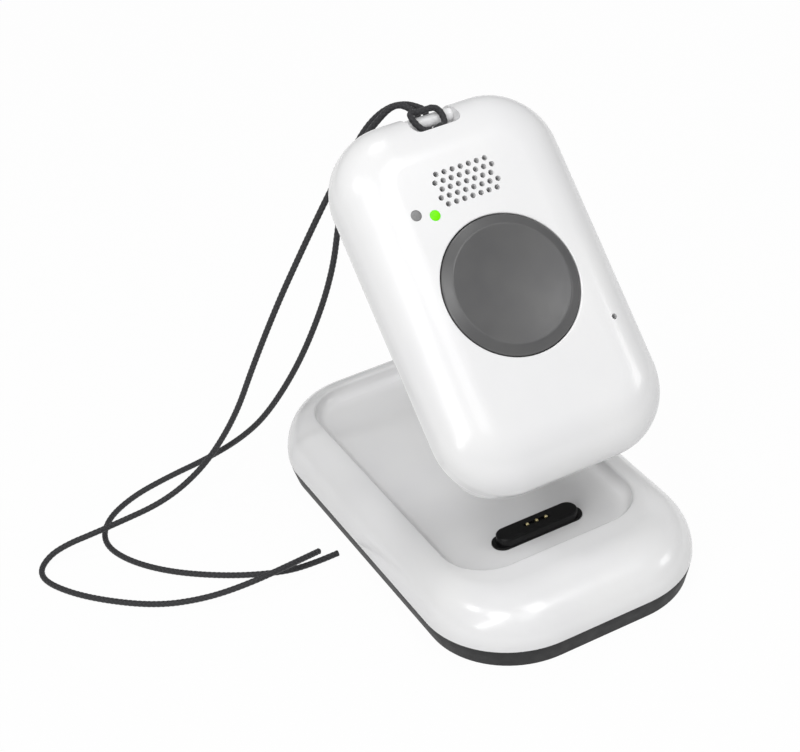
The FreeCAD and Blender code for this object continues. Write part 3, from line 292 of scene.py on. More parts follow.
def run_tree(tree, mesh, material, name):
    """Runs a tree on a mesh and returns its result as a plain mesh object."""
    carrier = new_object(name, mesh)
    modifier = carrier.modifiers.new(name, "NODES")
    modifier.node_group = tree
    for item in tree.interface.items_tree:
        if item.in_out == "INPUT" and item.name == "Material":
            modifier[item.identifier] = material
    result = as_mesh(carrier)
    bpy.data.objects.remove(carrier)
    return new_object(name, result)


# %% Braided cord as a Geometry Nodes tree
MATH = "ShaderNodeMath"
braid, sizes = geometry_tree("braided_cord", Radius=CORD / 2 * MM, Relief=0.06 * MM, Yarns=8,
                             Pitch=0.94 * MM, Step=0.1 * MM, Around=32)
spine = add(braid, "GeometryNodeMeshToCurve", {0: sizes["Geometry"]})
even_spine = add(braid, "GeometryNodeResampleCurve",
                 {"Curve": spine, "Length": sizes["Step"]}, mode="LENGTH")
along = add(braid, "GeometryNodeSplineParameter").outputs["Length"]
section = add(braid, "GeometryNodeCurvePrimitiveCircle",
              {"Resolution": sizes["Around"], "Radius": sizes["Radius"]})
turn = add(braid, "GeometryNodeSplineParameter").outputs["Factor"]
marked = {}
for curve, name, value in ((even_spine, "cord_along", along), (section, "cord_turn", turn)):
    marked[name] = add(braid, "GeometryNodeStoreNamedAttribute",
                       {"Geometry": curve, "Name": name, "Value": value}, domain="POINT")
swept = add(braid, "GeometryNodeCurveToMesh",
            {"Curve": marked["cord_along"], "Profile Curve": marked["cord_turn"], "Fill Caps": True})
read_along, read_turn = (add(braid, "GeometryNodeInputNamedAttribute", {"Name": name})
                         for name in marked)

stitches = add(braid, MATH, {0: read_along, 1: sizes["Pitch"]}, operation="DIVIDE")
half_yarns = add(braid, MATH, {0: sizes["Yarns"], 1: 0.5}, operation="MULTIPLY")
yarns = add(braid, MATH, {0: read_turn, 1: half_yarns}, operation="MULTIPLY")
waves = []
for slant in ("ADD", "SUBTRACT"):
    slanted = add(braid, MATH, {0: yarns, 1: stitches}, operation=slant)
    phase = add(braid, MATH, {0: slanted, 1: math.pi}, operation="MULTIPLY")
    waves.append(add(braid, MATH, {0: phase}, operation="SINE"))
crossed = add(braid, MATH, {0: waves[0], 1: waves[1]}, operation="MULTIPLY")
cushions = add(braid, MATH, {0: add(braid, MATH, {0: crossed}, operation="ABSOLUTE")}, operation="SQRT")
sunk = add(braid, MATH, {0: cushions, 1: 1.0}, operation="SUBTRACT")
lift = add(braid, MATH, {0: sunk, 1: sizes["Relief"]}, operation="MULTIPLY")
outwards = add(braid, "ShaderNodeVectorMath",
               {0: add(braid, "GeometryNodeInputNormal"), "Scale": lift}, operation="SCALE")
raised = add(braid, "GeometryNodeSetPosition", {"Geometry": swept, "Offset": outwards})
# The stored height also sets the cord's painted shade: its colour is darker in the hollows between the
# yarns.
kept = add(braid, "GeometryNodeStoreNamedAttribute",
           {"Geometry": raised, "Name": "braid_height", "Value": cushions}, domain="POINT")
finish_tree(braid, add(braid, "GeometryNodeSetShadeSmooth", {"Geometry": kept}), sizes["Material"])

# %% [markdown]
# Polyester yarn is dyed through and a little shiny. The hollows between the yarns are painted darker, as
# painted shade, and single fibres, far too fine to see, are drawn as a faint streak along each yarn.

# %% Cord material: dyed polyester yarn, braided, with painted shade in its hollows
cord_polyester, tree, shader = new_material("cord_braided_polyester", **{
    "Roughness": 0.72, "Sheen Weight": 0.25, "Sheen Roughness": 0.4, "IOR": 1.5})
height = add(tree, "ShaderNodeAttribute", attribute_name="braid_height").outputs["Fac"]
fibres = grain(tree, 0.08, 1.0)
# Painted shade: the colour darkens where the braid's height is low, in the hollows between the yarns.
painted_hollow_shade = add(tree, MATH, {0: height, 1: 0.3}, operation="MULTIPLY")
streaks = add(tree, MATH, {0: fibres, 1: 0.5}, operation="MULTIPLY")
fibres_and_painted_shade = add(tree, MATH, {0: painted_hollow_shade, 1: streaks}, operation="ADD")
vary(tree, shader, "Base Color", fibres_and_painted_shade, "1f1f21", "3b3b3e")
relief(tree, shader, fibres, 0.02, 0.5)

# %% Strands and hitch
cord_pieces = {}
for name, line in cord_lines.items():
    cord_pieces[name] = run_tree(braid, line.copy(), cord_polyester, name)
    print(name, len(cord_pieces[name].data.polygons), "faces")
hitch = cord_pieces["lanyard_hitch_braid"]
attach(hitch, "pendant")
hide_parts("lanyard_hitch")
# When the pendant docks, its hitch swings down behind it, as it rides on the pendant.
# The strands stay where they lie.
swing = {"lanyard_long_braid": ("lanyard_long_strand", (-21.5, -3.9, -4.1), (17.6, 3.2, 3.3)),
         "lanyard_short_braid": ("lanyard_short_strand", (-5.6, -1.7, -1.6), (23.0, 7.2, 6.7))}
for name, (node, start, end) in swing.items():
    strand, line = cord_pieces[name], cord_lines[name]
    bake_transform(strand)
    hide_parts(node)

# %% [markdown]
# ## Table and light
# A pale table in a white room. The floor shows the camera nearly the white of the room and still
# takes the object's shadow. Six soft lamps stand round the object like windows, and a long strip on
# the left draws the streak of light along the pendant's side.

# %% Floor and world
SEEN_WHITE, ROOM_LIGHT, FLOOR_REACH = 0.97, 0.2, 3000
floor_material = bpy.data.materials.new("floor_pale_paper")
tree = empty_tree(floor_material)
paper = add(tree, "ShaderNodeBsdfDiffuse", {"Color": colour("e0e0e0")})
glow = add(tree, "ShaderNodeEmission", {"Color": colour("ffffff"), "Strength": 1.0})
rays = add(tree, "ShaderNodeLightPath").outputs
looked_at = add(tree, MATH, {0: rays["Is Camera Ray"], 1: rays["Is Glossy Ray"]}, operation="MAXIMUM")
seen = add(tree, MATH, {0: looked_at, 1: SEEN_WHITE}, operation="MULTIPLY")
both = add(tree, "ShaderNodeMixShader", {0: seen, 1: paper, 2: glow})
add(tree, "ShaderNodeOutputMaterial", {"Surface": both})
floor_mesh = bpy.data.meshes.new("floor")
floor_mesh.from_pydata([Vector((x, y, 0)) * FLOOR_REACH * MM
                        for x, y in ((-1, -1), (1, -1), (1, 1), (-1, 1))], [], [(0, 1, 2, 3)])
floor_mesh.materials.append(floor_material)
floor = new_object("floor", floor_mesh)

world = bpy.data.worlds.new("white_room")
bpy.context.scene.world = world
tree = empty_tree(world)
room = add(tree, "ShaderNodeBackground", {"Color": colour("fbfbfb"), "Strength": ROOM_LIGHT})
white = add(tree, "ShaderNodeBackground", {"Color": colour("ffffff"), "Strength": 1.0})
rays = add(tree, "ShaderNodeLightPath").outputs
mixed = add(tree, "ShaderNodeMixShader", {0: rays["Is Camera Ray"], 1: room, 2: white})
add(tree, "ShaderNodeOutputWorld", {"Surface": mixed})
print("floor", 2 * FLOOR_REACH, "mm wide, room light", ROOM_LIGHT)

# %% Lamps
LAMP_AWAY, LAMP_AIM = 800, Vector((0, 0, 30))


def soft_lamp(name, direction, watts, wide_mm=130, long_mm=130, along=(0, 0, 1)):
    """An area lamp LAMP_AWAY mm from the object in that direction, its long side along a line."""
    data = bpy.data.lights.new(name, "AREA")
    data.shape = "RECTANGLE"
    data.size, data.size_y = wide_mm * MM, long_mm * MM
    data.energy = watts
    away = Vector(direction).normalized()
    side = Vector(along).cross(away).normalized()
    turned_to = Matrix((side, away.cross(side), away)).transposed().to_4x4()
    lamp = new_object(name, data)
    lamp.matrix_world = Matrix.Translation((away * LAMP_AWAY + LAMP_AIM) * MM) @ turned_to
    print(name, watts, "W,", wide_mm, "x", long_mm, "mm")


soft_lamp("key_window", (-0.4, -0.42, 0.82), 1.25, 220, 220)
soft_lamp("left_window", (-0.59, -0.06, 0.80), 0.75)
soft_lamp("middle_window", (0.19, -0.43, 0.88), 1.25, 230, 230)
soft_lamp("front_window", (-0.05, -0.63, 0.77), 0.4, 230, 230)
soft_lamp("back_window", (0.1, 0.3, 0.95), 0.95)
soft_lamp("left_strip", (-0.72, -0.495, 0.487), 1.75, 60, 520, (0.646, -0.215, 0.73))
soft_lamp("right_window", (0.8, -0.5, 0.4), 0.6, 190, 190)

# %% [markdown]
# ## Moulded shells
# Both housings are moulded plastic: a form with rounded corners that draws in as it rises. Such a
# form is a stack of outlines, each with the same number of points, joined by bands of faces. The
# stack gives a dense, even mesh on which gloss runs smoothly. Openings are then cut with the
# Manifold boolean, from cutters that are stacks as well, so an edge's rounding is a few more
# outlines in the cutter.

# %% Outlines and stacks
NEARLY_ROUND = 0.998  # a pill keeps a sliver of straight end, so that no two of its points coincide


def outline(half_x, low_y, high_y, corner, z, arc=18, side=16, end=10):
    """Points of a rectangle with round corners at height z, anticlockwise seen from above."""
    corners = [(half_x - corner, low_y + corner, -90, side), (half_x - corner, high_y - corner, 0, end),
               (corner - half_x, high_y - corner, 90, side), (corner - half_x, low_y + corner, 180, end)]
    bends = []
    for x, y, start, _ in corners:
        turns = [math.radians(start + 90 * i / arc) for i in range(arc + 1)]
        bends.append([(x + corner * math.cos(t), y + corner * math.sin(t), z) for t in turns])
    points = []
    for i, (_, _, _, steps) in enumerate(corners):
        points += bends[i]
        a, b = bends[i][-1], bends[(i + 1) % 4][0]
        points += [tuple(p + (q - p) * k / steps for p, q in zip(a, b)) for k in range(1, steps)]
    return points


def stack(name, rings, material=None):
    """A closed solid from outlines, with a flat face at each end, all faces turned outwards."""
    count = len(rings[0])
    faces = [tuple(range(count)), tuple(range((len(rings) - 1) * count, len(rings) * count))]
    for level in range(len(rings) - 1):
        base = level * count
        for i in range(count):
            j = (i + 1) % count
            faces.append((base + i, base + j, base + count + j, base + count + i))
    mesh = bpy.data.meshes.new(name)
    mesh.from_pydata([Vector(p) * MM for ring in rings for p in ring], [], faces)
    edit = bmesh.new()
    edit.from_mesh(mesh)
    bmesh.ops.recalc_face_normals(edit, faces=edit.faces)
    edit.to_mesh(mesh)
    edit.free()
    if material:
        mesh.materials.append(material)
    return new_object(name, mesh)


def even_stack(name, half_x, low_y, high_y, corner, profile, material=None, **steps):
    """A stack whose outline grows evenly: profile is a list of (growth, z)."""
    return stack(name, [outline(half_x + g, low_y - g, high_y + g, corner + g, z, **steps)
                        for g, z in profile], material)


def quarter(steps):
    """Turns from 0 to 90 degrees."""
    return [math.pi / 2 * i / steps for i in range(steps + 1)]


def rounded_foot(start, low_z, radius, steps, rise=None):
    """The rounding over low_z: growth runs from start - radius to start."""
    return [(start - radius * (1 - math.sin(t)), low_z + (rise or radius) * (1 - math.cos(t)))
            for t in quarter(steps)]


def rounded_top(start, top_z, radius, steps, way=-1):
    """The rounding under top_z, which draws a boss in, or with way=1 opens a hole."""
    return [(start + way * radius * (1 - math.cos(t)), top_z - radius + radius * math.sin(t))
            for t in quarter(steps)]


def pill(name, half_x, half_y, y, profile, material=None):
    """A plate with round ends, long in X."""
    return even_stack(name, half_x, y - half_y, y + half_y, half_y * NEARLY_ROUND, profile, material,
                      arc=16, side=1, end=12)


def turned(name, profile, x, y, steps, material=None):
    """A solid of revolution about a vertical line at x, y, from a profile of (radius, z)."""
    rings = [[(x + r * math.cos(2 * math.pi * i / steps), y + r * math.sin(2 * math.pi * i / steps), z)
              for i in range(steps)] for r, z in profile]
    return stack(name, rings, material)


def carve(piece, cutters, operation="DIFFERENCE"):
    """Cuts pieces out of a piece, or joins them to it, and removes them."""
    for cutter in cutters:
        modifier = piece.modifiers.new("carve", "BOOLEAN")
        modifier.solver = "MANIFOLD"
        modifier.operation = operation
        modifier.object = cutter
    mesh = as_mesh(piece)
    piece.modifiers.clear()
    piece.data = mesh
    for cutter in cutters:
        bpy.data.objects.remove(cutter)
    return piece


def drill(piece, name, profile, places, steps=24):
    """Cuts the same turned hole at each of these places."""
    carve(piece, [turned(name, profile, x, y, steps) for x, y in places])


def place(piece, body, node, slot, angle=32):
    """Shades a finished piece, lets it ride on its body and stand for its CAD node."""
    piece.data.shade_smooth()
    piece.data.set_sharp_from_angle(angle=math.radians(angle))
    piece.modifiers.new("even_shading", "WEIGHTED_NORMAL").keep_sharp = True
    if body != "cradle" and not body.startswith("pogo"):
        piece.data.transform(HOLD)
    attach(piece, body)
    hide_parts(node)
    print(piece.name, len(piece.data.polygons), "faces", [round(c / MM, 1) for c in piece.dimensions])


# %% [markdown]
# ## White ABS
# The shells are white ABS from a polished mould. Polished plastic still shows a very shallow
# waviness, called orange peel, that breaks up its reflections, and its gloss varies a little where
# it has been handled. Both are drawn, far weaker than the eye would pick out one by one.

# %% Material: white ABS from a polished mould
white_abs = surface("shell_white_abs_polished", ("ebebec", "efefef", 18, 2.0), (0.21, 0.27, 5, 3.0),
                    (0.004, 1.4, 1.0, 0.6),
                    **{"IOR": 1.52, "Coat Weight": 0.15, "Coat Roughness": 0.08})

# %% [markdown]
# ## Cradle, top shell
# A low pebble: an upright skirt of half a millimetre over the seam, a wide dome that draws in
# further at the front than at the sides, a narrow rim, and the recess that takes the pendant's back.

# %% Cradle top shell
PAST = 1.0  # how far a cutter reaches past what it cuts
SHELL_WALL = 1.8
SEAM_Z, RIM_Z, FLOOR_Z = 4.2, 12.65, 9.95
WIDTH, LENGTH, CORNER = 54.0, 89.7, 17.8
CRADLE_STEPS = dict(arc=22, side=26)
SKIRT, SIDE_DRAW, FRONT_DRAW, REAR_DRAW, CORNER_DRAW = 0.55, 6.7, 10.5, 5.95, 8.2
RECESS = dict(half_x=19.7, low_y=-30.2, high_y=38.3, corner=9.0)
RECESS_ROUND, RECESS_RIM, RECESS_WALL = 2, 0.5, 1.6
INLET_GAP = dict(half_x=4.0, low_y=38.1, high_y=90.0, corner=0.8)
INLET_LOW, INLET_HIGH = 3.9, 6.5
CONNECTOR_Y, UNDER_SEAM = -21.7, 4.0
SLOT_X, SLOT_Y = 8.6, 2.12


def dome(name, inset, top_z, steps=22):
    """The shell's outer form, drawn in by inset."""
    half_x, half_y = WIDTH / 2 - inset, LENGTH / 2 - inset
    rings = [outline(half_x, -half_y, half_y, CORNER - inset, SEAM_Z, **CRADLE_STEPS)]
    for turn in quarter(steps):
        share, rise = 1 - math.cos(turn), math.sin(turn)
        z = SEAM_Z + SKIRT + (top_z - SEAM_Z - SKIRT) * rise
        rings.append(outline(half_x - SIDE_DRAW * share, FRONT_DRAW * share - half_y,
                             half_y - REAR_DRAW * share, CORNER - inset - CORNER_DRAW * share, z,
                             **CRADLE_STEPS))
    return stack(name, rings, white_abs)


def recess(name, grow, low_z, rim=0.0):
    """The docking recess with its rounded floor, and with rim a rounded upper edge."""
    profile = rounded_foot(grow, low_z, RECESS_ROUND, 8)
    if rim:
        profile += rounded_top(grow, RIM_Z, rim, 6, 1)
    profile.append((grow + rim, RIM_Z + PAST))
    return even_stack(name, profile=profile, arc=18, side=20, **RECESS)


def inlet_gap():
    """A cutter for the opening that the power inlet looks out of."""
    return even_stack("inlet_gap", profile=[(0, INLET_LOW), (0, INLET_HIGH)],
                      arc=6, side=2, end=2, **INLET_GAP)


cradle_top = dome("cradle_top_moulding", 0, RIM_Z)
pan = recess("pan", RECESS_WALL, FLOOR_Z - RECESS_WALL)
carve(cradle_top, [carve(dome("hollow", SHELL_WALL, RIM_Z - SHELL_WALL), [pan])])
slot = pill("slot", SLOT_X, SLOT_Y, CONNECTOR_Y, [(0, UNDER_SEAM), (0, FLOOR_Z + 2 * PAST)])
carve(cradle_top, [recess("recess", 0, FLOOR_Z, RECESS_RIM), slot, inlet_gap()])
place(cradle_top, "cradle", "cradle_top_shell", "shell_gloss_white")

# %% [markdown]
# ## Cradle, dark base
# The lower tray is satin dark grey, moulded in a spark-eroded tool that leaves a fine even grain.
# It draws in a little towards the table, and a soft pad lies in a pocket under it.

# %% Materials: textured ABS and silicone pad
grey_abs = surface("base_grey_abs_textured", ("262627", "2b2b2c", 6, 2.0), (0.52, 0.62, 2, 2.0),
                   (0.02, 0.25, 2.0, 0.5), **{"IOR": 1.52, "Specular IOR Level": 0.3})
silicone = surface("silicone_matt", ("28282a", "2f2f31", 4, 3.0), (0.6, 0.78, 1.5, 3.0),
                   (0.02, 0.4, 2.0, 0.6), IOR=1.43)

# %% Cradle base and foot pad
BASE_LIFT, BASE_EDGE, UNDERCUT, SIDE_TOP = 0.1, 0.12, 1.0, 4.0
TRAY_FLOOR, LIP_INSET, LIP_WALL, LIP_TOP = 1.8, 1.9, 1.0, 5.4
PAD_POCKET = dict(half_x=20.0, low_y=-37.0, high_y=37.0, corner=10.0)
PAD_TOP, PAD_GAP, PAD_EDGE = 0.9, 0.1, 0.25


def tray_ring(inset, z):
    """The tray's outline at height z, drawn in by inset."""
    return outline(WIDTH / 2 - inset, inset - LENGTH / 2, LENGTH / 2 - inset, CORNER - inset, z,
                   **CRADLE_STEPS)


side_low = BASE_LIFT + BASE_EDGE
base_profile = rounded_foot(-UNDERCUT, BASE_LIFT, BASE_EDGE, 4)
base_profile += [(-UNDERCUT * (1 - share), side_low + (SIDE_TOP - side_low) * share)
                 for share in (0.25, 0.5, 0.75)]
base_profile += [(-BASE_EDGE * (1 - math.sin(t)), SEAM_Z - BASE_EDGE * math.cos(t))
                 for t in (0.0, 0.8, math.pi / 2)]
cradle_tray = stack("cradle_base_moulding", [tray_ring(-g, z) for g, z in base_profile], grey_abs)
lip_in = LIP_INSET + LIP_WALL
carve(cradle_tray, [stack("lip", [tray_ring(LIP_INSET, z) for z in (TRAY_FLOOR, LIP_TOP)])], "UNION")
carve(cradle_tray, [stack("inside", [tray_ring(lip_in, z) for z in (TRAY_FLOOR, LIP_TOP + PAST)]),
                    even_stack("pad_pocket", profile=[(0, -PAST), (0, PAD_TOP)], **PAD_POCKET),
                    inlet_gap()])
place(cradle_tray, "cradle", "cradle_base", "base_dark_grey")

pad_profile = rounded_foot(-PAD_GAP, 0, PAD_EDGE, 4) + [(-PAD_GAP, PAD_TOP)]
foot_pad = even_stack("foot_pad_moulding", profile=pad_profile, material=silicone, **PAD_POCKET)
place(foot_pad, "cradle", "cradle_foot_pad", "silicone")

# %% [markdown]
# ## Charging connector
# A black pill-shaped housing of glass-filled nylon: a thin flange lies on the recess floor, and a
# raised block stands through it round three gold-plated spring pins in a shallow groove.

# %% Materials: black nylon and gold plating
black_nylon = surface("connector_black_nylon", ("090909", "101011", 1.5, 3.0),
                      (0.32, 0.45, 0.8, 3.0), (0.01, 0.15, 2.0, 0.5),
                      **{"IOR": 1.53, "Specular IOR Level": 0.25})
gold = surface("gold_plated_brass", ("f3e2a2", "fcf0c4", 0.5, 3.0), (0.2, 0.32, 0.3, 2.0), Metallic=1.0)

# %% Connector housing
FLANGE_X, FLANGE_Y, FLANGE_HIGH, FLANGE_EDGE = 9.5, 2.2, 0.4, 0.12
BLOCK_X, BLOCK_Y, BLOCK_TOP, BLOCK_EDGE = 8.5, 2.05, 11.95, 0.45
GROOVE_X, GROOVE_Y, GROOVE_DEEP = 3.1, 0.7, 0.3
WELL_R, WELL_MOUTH_R, WELL_TOP, WELL_MOUTH_TOP = 0.4, 0.55, 11.5, 11.66
BORE_R, BORE_LOW, BORE_TOP = 0.8, 3.5, 10.35
pin_x = {"left": -2.0, "middle": 0.0, "right": 2.0}

flange = [(0, FLOOR_Z)] + rounded_top(0, FLOOR_Z + FLANGE_HIGH, FLANGE_EDGE, 3)
connector = pill("connector_moulding", FLANGE_X, FLANGE_Y, CONNECTOR_Y, flange, black_nylon)
block = [(0, UNDER_SEAM)] + rounded_top(0, BLOCK_TOP, BLOCK_EDGE, 5)
carve(connector, [pill("block", BLOCK_X, BLOCK_Y, CONNECTOR_Y, block)], "UNION")
groove = [(-GROOVE_DEEP * math.cos(t), BLOCK_TOP - GROOVE_DEEP * math.sin(t))
          for t in reversed(quarter(4))] + [(0, BLOCK_TOP + PAST)]
carve(connector, [pill("groove", GROOVE_X, GROOVE_Y, CONNECTOR_Y, groove)])
well = [(WELL_R, UNDER_SEAM), (WELL_R, WELL_TOP), (WELL_MOUTH_R, WELL_MOUTH_TOP)]
bore = [(BORE_R, BORE_LOW), (BORE_R, BORE_TOP)]
pin_places = [(x, CONNECTOR_Y) for x in pin_x.values()]
drill(connector, "well", well, pin_places)
drill(connector, "barrel_bore", bore, pin_places)
place(connector, "cradle", "charging_connector", "connector_black")

# %% Spring pins
PIN_R, PIN_FOOT_R, PIN_FOOT, PIN_TAPER, PIN_DOME = 0.35, 0.45, 1.1, 0.1, 0.25
POLE, PIN_POLE = 0.02, 0.03  # a small flat closes a turned piece on its axis
for side, x in pin_x.items():
    low, high = (c.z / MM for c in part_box("pogo_pin_" + side))
    foot = [(PIN_FOOT_R, low), (PIN_FOOT_R, low + PIN_FOOT), (PIN_R, low + PIN_FOOT + PIN_TAPER)]
    tip = [(PIN_R * math.cos(t), high - PIN_DOME + PIN_DOME * math.sin(t)) for t in quarter(6)[:-1]]
    pin = turned("gold_pin_" + side, foot + tip + [(PIN_POLE, high)], x, CONNECTOR_Y, 24, gold)
    place(pin, "pogo_" + side, "pogo_pin_" + side, "gold")

# %% [markdown]
# ## Pendant, front shell
# It is made lying flat, as its mould was, and `place` then lifts and tilts it into its held pose.
# The side stands upright for two millimetres above the seam and then rolls over in a wide curve to
# a flat face. A hexagonal grid of holes lets the speaker sound through: Geometry Nodes set one
# cutter at each point of the grid, so that a hole's radius and depth stay named inputs.

# %% Speaker perforations as a Geometry Nodes tree
GRID_Y, PITCH, ROWS, PUNCH_Z = 19.0, 1.617, (7, 8, 7, 8, 7), 14.0
punch, sizes = geometry_tree("speaker_perforations", Radius=0.5 * MM, Depth=6.0 * MM)
disc = add(punch, "GeometryNodeMeshCylinder",
           {"Vertices": 20, "Radius": sizes["Radius"], "Depth": sizes["Depth"]})
sown = add(punch, "GeometryNodeInstanceOnPoints", {"Points": sizes["Geometry"], "Instance": disc})
finish_tree(punch, sown, sizes["Material"])
grid = bpy.data.meshes.new("speaker_grid")
row_step = PITCH * math.sqrt(0.75)
grid.from_pydata([Vector(((i - (count - 1) / 2) * PITCH, GRID_Y + (row - 2) * row_step, PUNCH_Z)) * MM
                  for row, count in enumerate(ROWS) for i in range(count)], [], [])
print(len(grid.vertices), "holes,", PITCH, "mm apart")

# %% Pendant front shell
PENDANT = dict(half_x=21.9, low_y=-34.35, high_y=34.35, corner=12.6, arc=24, side=28, end=12)
CASE_SEAM, FACE_Z = 5.9, 15.1
ROLL, ROLL_LOW = 9.7, 8.0
SEAM_EDGE = [(-0.12, 0), (-0.035, 0.035), (0, 0.12)]  # the seam's tiny rounding: (growth, away from it)
NOTCH = dict(half_x=4.8, low_y=29.9, high_y=40.0, corner=1.6, arc=10, side=2, end=2)
NOTCH_WALL, NOTCH_GAP = 1.5, 0.1
SOCKET_R, SOCKET_REACH = 1.25, 5.9
CUT_LOW, CUT_HIGH = 11.0, 17.0  # cutters for holes in the face reach from here to here
BUTTON_Y, BUTTON_HOLE_R, BUTTON_HOLE_EDGE = -0.65, 12.85, 0.25
MICROPHONE_X, MICROPHONE_Y, MICROPHONE_R, MICROPHONE_LOW = 15.8, -12.15, 0.55, 9.0
WINDOW_R = 1.0
windows = {"left": (-11.25, 16.1), "right": (-8.0, 15.05)}


def pendant_form(name, inset, low_z, top_z, material=None):
    """The front's outer form, drawn in by inset."""
    roll = ROLL - inset / 2
    profile = [(-inset, low_z)] if inset else [(g, low_z + up) for g, up in SEAM_EDGE]
    profile += [(-inset - roll * (1 - math.cos(t)), ROLL_LOW + (top_z - ROLL_LOW) * math.sin(t))
                for t in quarter(20)]
    return even_stack(name, profile=profile, material=material, **PENDANT)


def notch(name, grow, low_z=-PAST):
    """The through notch at the top end, or with grow the walls round it."""
    return even_stack(name, profile=[(grow, low_z), (grow, FACE_Z + PAST)], **NOTCH)


def along_bar(piece):
    """Turns a piece that was made upright on to the lanyard bar's line."""
    middle = Matrix.Translation((0, BAR_Y * MM, BAR_Z * MM))
    piece.data.transform(middle @ Matrix.Rotation(math.radians(90), 4, "Y"))
    return piece


front = pendant_form("pendant_front_moulding", 0, CASE_SEAM, FACE_Z, white_abs)
hollow = pendant_form("hollow", SHELL_WALL, CASE_SEAM - PAST, FACE_Z - SHELL_WALL)
carve(front, [carve(hollow, [notch("walls", NOTCH_WALL)])])
sockets = along_bar(turned("sockets", [(SOCKET_R, -SOCKET_REACH), (SOCKET_R, SOCKET_REACH)], 0, 0, 40))
carve(front, [notch("notch", 0), sockets])
hole_edge = rounded_top(BUTTON_HOLE_R, FACE_Z, BUTTON_HOLE_EDGE, 4, 1)
button_hole = [(BUTTON_HOLE_R, CUT_LOW)] + hole_edge + [(BUTTON_HOLE_R + BUTTON_HOLE_EDGE, CUT_HIGH)]
microphone_hole = [(MICROPHONE_R, MICROPHONE_LOW), (MICROPHONE_R, CUT_HIGH)]
carve(front, [turned("button_hole", button_hole, 0, BUTTON_Y, 128),
              run_tree(punch, grid, white_abs, "perforations"),
              turned("microphone_hole", microphone_hole, MICROPHONE_X, MICROPHONE_Y, 24)])
drill(front, "window_hole", [(WINDOW_R, CUT_LOW), (WINDOW_R, CUT_HIGH)], windows.values(), 40)
place(front, "pendant", "pendant_front_shell", "shell_gloss_white")

# %% [markdown]
# The bar that the cord hitches round is a separate rod with chamfered ends, which stand in sockets
# in the notch's walls.

# %% Lanyard bar
BAR_HALF, BAR_CHAMFER = 5.8, 0.15
bar_half_profile = [(BAR_RADIUS, BAR_HALF - BAR_CHAMFER), (BAR_RADIUS - BAR_CHAMFER, BAR_HALF)]
bar_profile = [(r, -z) for r, z in reversed(bar_half_profile)] + bar_half_profile
bar = along_bar(turned("lanyard_bar_moulding", bar_profile, 0, 0, 48, white_abs))
place(bar, "pendant", "lanyard_bar", "shell_gloss_white")

# %% [markdown]
# ## Pendant, back cover
# Its rounded edge meets the front at the seam, and a plateau stands out of it that fits the
# cradle's recess. A pill-shaped pocket in the plateau clears the connector; its three gold pads
# meet the spring pins.

# %% Pendant back cover
BACK_LOW, BACK_DRAW, BACK_RISE = 2.9, 4.0, 3.0
PLATEAU_EDGE, PLATEAU_TOP = 0.6, 5.8
PLATEAU = dict(half_x=18.7, low_y=-33.25, high_y=33.25, corner=8.0, arc=16, side=20, end=8)
INNER_STEPS = dict(arc=12, side=8, end=6)
TONGUE = dict(half_x=20.0, low_y=-32.45, high_y=32.45, corner=10.7, **INNER_STEPS)
TONGUE_LOW, TONGUE_TOP = 4.3, 7.2
ROOM = dict(half_x=18.9, low_y=-31.35, high_y=31.35, corner=9.6, **INNER_STEPS)
LOWER_ROOM = dict(half_x=17.1, low_y=-31.65, high_y=31.65, corner=6.4, **INNER_STEPS)
BACK_WALL = 1.6

back_profile = rounded_foot(0, BACK_LOW, BACK_DRAW, 16, BACK_RISE)[:-1]
back_profile += [(g, CASE_SEAM - away) for g, away in reversed(SEAM_EDGE)]
back = even_stack("pendant_back_moulding", profile=back_profile, material=white_abs, **PENDANT)
plateau_profile = rounded_foot(0, 0, PLATEAU_EDGE, 6) + [(0, PLATEAU_TOP)]
carve(back, [even_stack("plateau", profile=plateau_profile, **PLATEAU)], "UNION")
tongue_profile = [(0, TONGUE_LOW), (0, TONGUE_TOP)]
carve(back, [even_stack("tongue", profile=tongue_profile, **TONGUE)], "UNION")
room = even_stack("room", profile=[(0, TONGUE_LOW), (0, TONGUE_TOP + PAST)], **ROOM)
lower_profile = [(0, BACK_WALL), (0, CASE_SEAM)]
carve(room, [even_stack("lower_room", profile=lower_profile, **LOWER_ROOM)], "UNION")

# %% Openings in the back cover
CONTACT_Y, POCKET_Z, POCKET_MOUTH = -25.75, 2.15, 0.2
POCKET_X, POCKET_Y = 10.0, 3.1
POCKET_WALL, POCKET_WALLS_TOP = 1.6, 4.1
screw_places = [(x, y) for y in (-19.5, 25.0) for x in (-14.6, 14.6)]
SCREW_HOLE = [(2.0, -0.5), (2.0, 0.1), (1.9, 0.2), (1.9, 0.7)]
SCREW_BORE = [(1.1, 0.5), (1.1, 2.0)]
CONTACT_HOLE = [(0.8, 2.0), (0.8, 2.5), (0.45, 2.52), (0.45, 4.5)]

pocket_walls = pill("pocket_walls", POCKET_X + POCKET_WALL, POCKET_Y + POCKET_WALL, CONTACT_Y,
                    [(0, 0.0), (0, POCKET_WALLS_TOP)])
carve(room, [notch("walls", NOTCH_WALL), pocket_walls])
carve(back, [room, notch("notch", 0), notch("front_walls", NOTCH_WALL + NOTCH_GAP, CASE_SEAM)])
pocket = [(POCKET_MOUTH, -0.5)]
pocket += [(POCKET_MOUTH * math.cos(t), POCKET_MOUTH * math.sin(t)) for t in quarter(3)]
carve(back, [pill("pocket", POCKET_X, POCKET_Y, CONTACT_Y, pocket + [(0, POCKET_Z)])])
drill(back, "screw_hole", SCREW_HOLE, screw_places, 32)
drill(back, "screw_bore", SCREW_BORE, screw_places)
drill(back, "contact_hole", CONTACT_HOLE, [(x, CONTACT_Y) for x in pin_x.values()])
place(back, "pendant", "pendant_back_cover", "shell_gloss_white")

# %% [markdown]
# ## Help button
# One large round cap, moulded in satin grey. Its edge slopes up to a rim, and a shallow dish inside
# the rim guides the finger. The rim is softly rounded, so it shows as a change of tone, not a line.

